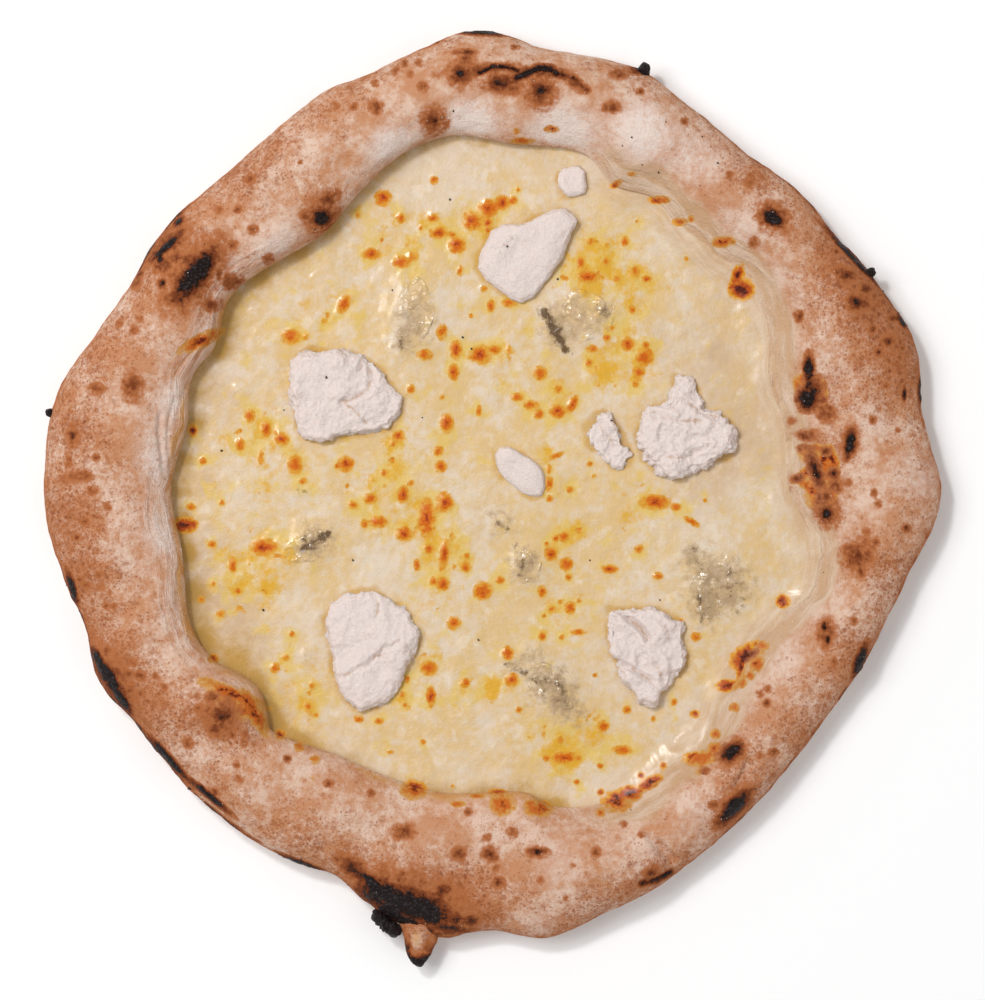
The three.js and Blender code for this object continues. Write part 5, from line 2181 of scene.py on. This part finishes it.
@dataclass
class WhiteCurd:
    """The torn pieces of white curd."""

    nodes: dict[str, Piece]
    voxel: float = 0.42
    smoothing: int = 3

    def crack_depth(self, name: str, x: Array, y: Array) -> tuple[Array, Array]:
        """How deep and how marked the cracks of one curd are.

        Args:
            name: the curd's node.
            x: photograph x of each place.
            y: photograph y of each place.

        Returns:
            The depth in millimetres and the mark, from 0 to 1, at each place.
        """
        depth, mark = np.zeros(x.shape), np.zeros(x.shape)
        for trace, half_width, deep in CURD_CRACKS.get(name, ()):
            line = trace_field(x, y, trace, 1.2 * half_width)
            depth = np.maximum(depth, deep * smoothstep(line, 0.0, 1.0))
            mark = np.maximum(mark, line)
        return depth, mark

    def build(self) -> list[Piece]:
        """A crumbly piece for each curd.

        Returns:
            The pieces, in the order of the curds.
        """
        made = []
        for number, (name, crumble, grain) in enumerate(CURDS):
            piece = voxel_copy(self.nodes[name], name + "_torn", self.voxel, self.smoothing)
            points, outward = points_of(piece), read_rows(piece.data.vertex_normals, "vector")
            clumps = Grain(60 + number).many(points, 7.5, 4, 0.55)
            grains = np.abs(Grain(80 + number).many(points, 2.2, 3, 0.6))
            lifted = np.clip(outward[:, 2], 0.0, 1.0)
            tears = Grain(90 + number).many(points, 3.6, 4, 0.6) * (1 - lifted)
            moved = crumble * (clumps + tears) - grain * (1 - 2 * grains) + 0.1
            x, y = PHOTO.seen(points)
            wander = 2.6 * Grain(70 + number).many(points, 2.4, 2)
            depth, mark = self.crack_depth(name, x + wander, y + wander)
            points = points + outward * moved[:, None]
            points[:, 2] -= depth * lifted
            set_points(piece, points)
            give_fields(piece, crack=mark * lifted)
            made.append(piece)
        return made


# ---------------- loose specks


@dataclass(frozen=True)
class SpeckKind:
    """One kind of speck: its name, sizes in millimetres, flatness, seed and finish."""

    name: str
    smallest: float
    largest: float
    flatness: float
    seed: int
    finish: SpeckFinish


def speck_tree() -> Tree:
    """A tree that puts an uneven grain on every vertex of the mesh it is given.

    Returns:
        The tree, with inputs for the sizes, the flatness, the seed and the material.
    """
    wiring, given, result = start_group(
        "specks_on_sites", "GeometryNodeTree",
        {
            "Sites": Socket.SHAPE, "Smallest": Socket.NUMBER, "Largest": Socket.NUMBER,
            "Flatness": Socket.NUMBER, "Seed": Socket.WHOLE, "Material": Socket.FINISH,
        },
        {"Specks": Socket.SHAPE},
    )
    signal = wiring.signal
    ball = signal("Mesh", "GeometryNodeMeshIcoSphere", {"Radius": 0.5, "Subdivisions": 2})
    bumps = signal("Color", "ShaderNodeTexNoise", {"Scale": 2.3})
    push = signal("Vector", "ShaderNodeVectorMath", {0: bumps, "Scale": 0.35}, operation="SCALE")
    uneven = signal("Geometry", "GeometryNodeSetPosition", {"Geometry": ball, "Offset": push})
    shape = signal("Vector", "ShaderNodeCombineXYZ", {"X": 1.0, "Y": 0.8, "Z": given["Flatness"]})
    grain = signal("Geometry", "GeometryNodeTransform", {"Geometry": uneven, "Scale": shape})
    points = signal("Points", "GeometryNodeMeshToPoints", {"Mesh": given["Sites"]})
    size = signal(
        1, "FunctionNodeRandomValue",
        {2: given["Smallest"], 3: given["Largest"], "Seed": given["Seed"]}, data_type="FLOAT",
    )
    turn = signal(
        "Value", "FunctionNodeRandomValue",
        {0: (-0.5, -0.5, 0.0), 1: (0.5, 0.5, 6.283), "Seed": given["Seed"]},
        data_type="FLOAT_VECTOR",
    )
    copies = signal(
        "Instances", "GeometryNodeInstanceOnPoints",
        {"Points": points, "Instance": grain, "Rotation": turn, "Scale": size},
    )
    real = signal("Geometry", "GeometryNodeRealizeInstances", {"Geometry": copies})
    finish = {"Geometry": real, "Material": given["Material"]}
    wiring.feed(result, {"Specks": signal("Geometry", "GeometryNodeSetMaterial", finish)})
    return wiring.tree


@dataclass
class Specks:
    """Pepper, burnt flakes and flour that lie on the pizza."""

    form: RimForm
    carriers: Sequence[Piece]
    dough_rows: Array
    flake_count: int = 200
    flour_count: int = 900
    pepper: SpeckKind = SpeckKind(
        "pepper", 0.5, 1.0, 0.7, 3,
        SpeckFinish("pepper_black", srgb(58, 46, 38), srgb(26, 22, 20), 0.6),
    )
    flakes: SpeckKind = SpeckKind(
        "burnt_flakes", 0.25, 0.8, 0.4, 5,
        SpeckFinish("flakes_burnt", srgb(60, 38, 28), srgb(24, 18, 17), 0.45),
    )
    flour: SpeckKind = SpeckKind(
        "flour_grains", 0.15, 0.4, 0.8, 7,
        SpeckFinish("flour_white", srgb(240, 228, 214), srgb(226, 206, 186), 0.9),
    )

    def grow(self, kind: SpeckKind, sites: Array, tree: Tree, effects: Effects) -> Piece:
        """Turns sites into real grains.

        Args:
            kind: sizes and finish.
            sites: places in millimetres.
            tree: the tree that grows them.
            effects: the shared shader effects.

        Returns:
            The grains as one plain mesh.
        """
        holder = new_piece(kind.name + "_sites", sites, [])
        modifier = holder.modifiers.new("specks", "NODES")
        modifier.node_group = tree
        values = {
            "Smallest": kind.smallest * MM, "Largest": kind.largest * MM, "Seed": kind.seed,
            "Flatness": kind.flatness, "Material": kind.finish.build(effects),
        }
        for item in tree.interface.items_tree:
            if item.in_out == "INPUT" and item.name in values:
                modifier[item.identifier] = values[item.name]
        piece = put_in_scene(kind.name, final_mesh(holder, kind.name))
        set_points(piece, points_of(piece))
        return piece

    def pepper_sites(self) -> Array:
        """Drops the pepper seen in the photograph on the skin of the pieces under it.

        Returns:
            One place for each grain, in millimetres.
        """
        graph = bpy.context.evaluated_depsgraph_get()
        skins = [BVHTree.FromObject(piece, graph) for piece in self.carriers]
        sites = []
        for pixel in PEPPER:
            x, y = PHOTO.place(*pixel)
            above = (x * MM, y * MM, 2.0 * BOX.high[2] * MM)
            hits = [skin.ray_cast(above, (0.0, 0.0, -1.0))[0] for skin in skins]
            sites.append((x, y, max(hit.z for hit in hits if hit is not None) / MM + 0.1))
        return np.array(sites)

    def rim_sites(self, count: int, seed: int, likely: Callable[[Array], Array]) -> Array:
        """Seeded places on the dough's skin.

        Args:
            count: how many places.
            seed: the draw's seed.
            likely: gives the chance of each point of the skin.

        Returns:
            The places in millimetres.
        """
        generator = np.random.default_rng(seed)
        points = self.dough_rows.reshape(-1, 3)
        points = points[points[:, 2] > self.form.girth_height]
        chance = np.clip(likely(points), 0.0, None)
        return points[generator.choice(len(points), count, False, chance / chance.sum())]

    def build(self, effects: Effects) -> list[Piece]:
        """One piece for each kind of speck.

        Args:
            effects: the shared shader effects.

        Returns:
            The pepper, the burnt flakes and the flour.
        """
        tree = speck_tree()

        def near_char(points: Array) -> Array:
            """Chance of a burnt flake."""
            return mark_field(*PHOTO.seen(points), CHARRED) ** 1.5 + 0.002

        def floury(points: Array) -> Array:
            """Chance of a grain of flour."""
            return zone_field(*PHOTO.seen(points), FLOUR_ZONES) ** 2 + 0.05

        flake_sites = self.rim_sites(self.flake_count, 31, near_char)
        flour_sites = self.rim_sites(self.flour_count, 32, floury)
        return [
            self.grow(self.pepper, self.pepper_sites(), tree, effects),
            self.grow(self.flakes, flake_sites, tree, effects),
            self.grow(self.flour, flour_sites, tree, effects),
        ]


# ---------------- light, floor and camera


@dataclass(frozen=True)
class Lamp:
    """A soft square lamp: its name, place and side in metres, and power in watts."""

    name: str
    place: Triple
    side: float
    power: float

    def hang(self) -> None:
        """Puts the lamp in the scene, pointing at the pizza."""
        light = bpy.data.lights.new(self.name, "AREA")
        light.size = self.side
        light.energy = self.power
        holder = put_in_scene(self.name, light)
        holder.location = self.place
        aim = -np.array(self.place) / np.linalg.norm(self.place)
        turn = np.arctan2(aim[1], aim[0]) - np.pi / 2
        holder.rotation_euler = (np.arccos(-aim[2]), 0.0, turn)


@dataclass
class Studio:
    """A pale floor, soft light from the upper left and the camera straight above."""

    floor_half: float = 1.6
    floor_roughness: float = 0.9
    ground: float = 0.96
    sky: float = 0.43
    view_reach: float = 20.0
    lamps: tuple[Lamp, ...] = (
        Lamp("key", (-1.2, 0.45, 2.0), 1.1, 23.0),
        Lamp("fill", (0.9, -0.5, 0.9), 1.2, 2.6),
        Lamp("glint", (-0.5, 0.55, 1.3), 0.17, 7.0),
    )

    def floor(self) -> None:
        """Lays the plain pale floor under the pizza."""
        half = self.floor_half
        mesh = bpy.data.meshes.new("floor")
        corners = [(-half, -half, 0.0), (half, -half, 0.0), (half, half, 0.0), (-half, half, 0.0)]
        mesh.from_pydata(corners, [], [(0, 1, 2, 3)])
        piece = put_in_scene("floor", mesh)
        material, wiring, shader = finish_material("floor_pale")
        colour = (self.ground, self.ground, self.ground)
        wiring.feed(shader, {"Base Color": colour, "Roughness": self.floor_roughness})
        piece.data.materials.append(material)
        piece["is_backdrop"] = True

    def camera(self) -> None:
        """Puts the camera straight above, framed as the photograph is."""
        lens = bpy.data.cameras.new("camera")
        lens.lens = PHOTO.lens
        lens.sensor_width = PHOTO.sensor
        lens.clip_end = self.view_reach
        holder = put_in_scene("camera", lens)
        holder.location = (0.0, 0.0, (PHOTO.camera_distance + PHOTO.plane_height) * MM)
        bpy.context.scene.camera = holder

    def build(self) -> None:
        """Sets up floor, lamps, sky and camera."""
        self.floor()
        for lamp in self.lamps:
            lamp.hang()
        world = bpy.data.worlds.new("sky")
        world.use_nodes = True
        background = world.node_tree.nodes["Background"]
        background.inputs["Color"].default_value = (1.0, 1.0, 1.0, 1.0)
        background.inputs["Strength"].default_value = self.sky
        bpy.context.scene.world = world
        bpy.context.scene.view_settings.view_transform = "Standard"
        self.camera()


# ---------------- putting it together


def enlist(
    piece: Piece, node: str | None = None, material: Material | None = None
) -> Piece:
    """Makes a piece part of the pizza.

    Args:
        piece: the piece.
        node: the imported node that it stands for, if there is one.
        material: its finish, if it has none yet.

    Returns:
        The piece.
    """
    if material:
        piece.data.materials.append(material)
    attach(piece, "root")
    if node:
        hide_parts(node)
    log.info("%s: %d vertices", piece.name, len(piece.data.vertices))
    return piece


def main() -> None:
    """Builds the pizza's pieces in order and sets up the studio."""
    logging.basicConfig(level=logging.INFO, format="%(name)s: %(message)s")
    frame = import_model()
    packed_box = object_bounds()
    BOX.low, BOX.high = (np.array(corner, float) / MM for corner in packed_box)
    nodes = frame["nodes"]
    effects = Effects()
    form = RimForm()

    crust_material = CrustFinish().build(effects)
    dough = BakedDough(form)
    dough_rows = dough.shaped_rows()
    carriers = [enlist(dough.build(dough_rows), "crust", crust_material)]
    for piece in EdgeBurns(form).build():
        enlist(piece, "crust", crust_material)

    melt_material = MeltFinish().build(effects)
    melt = MeltedCheese(form, [plan_points(nodes[name]) for name, _, _ in CURDS], dough_rows)
    carriers.append(enlist(melt.build(), "melted_cheese", melt_material))
    for lump, piece in zip(BLUE_LUMPS, BlueCheese(nodes, melt).build()):
        carriers.append(enlist(piece, lump.node, melt_material))

    curd_material = CurdFinish().build(effects)
    for (name, _, _), piece in zip(CURDS, WhiteCurd(nodes).build()):
        carriers.append(enlist(piece, name, curd_material))

    for piece in Specks(form, carriers, dough_rows).build(effects):
        enlist(piece)

    Studio().build()


if __name__ == "__main__":
    main()
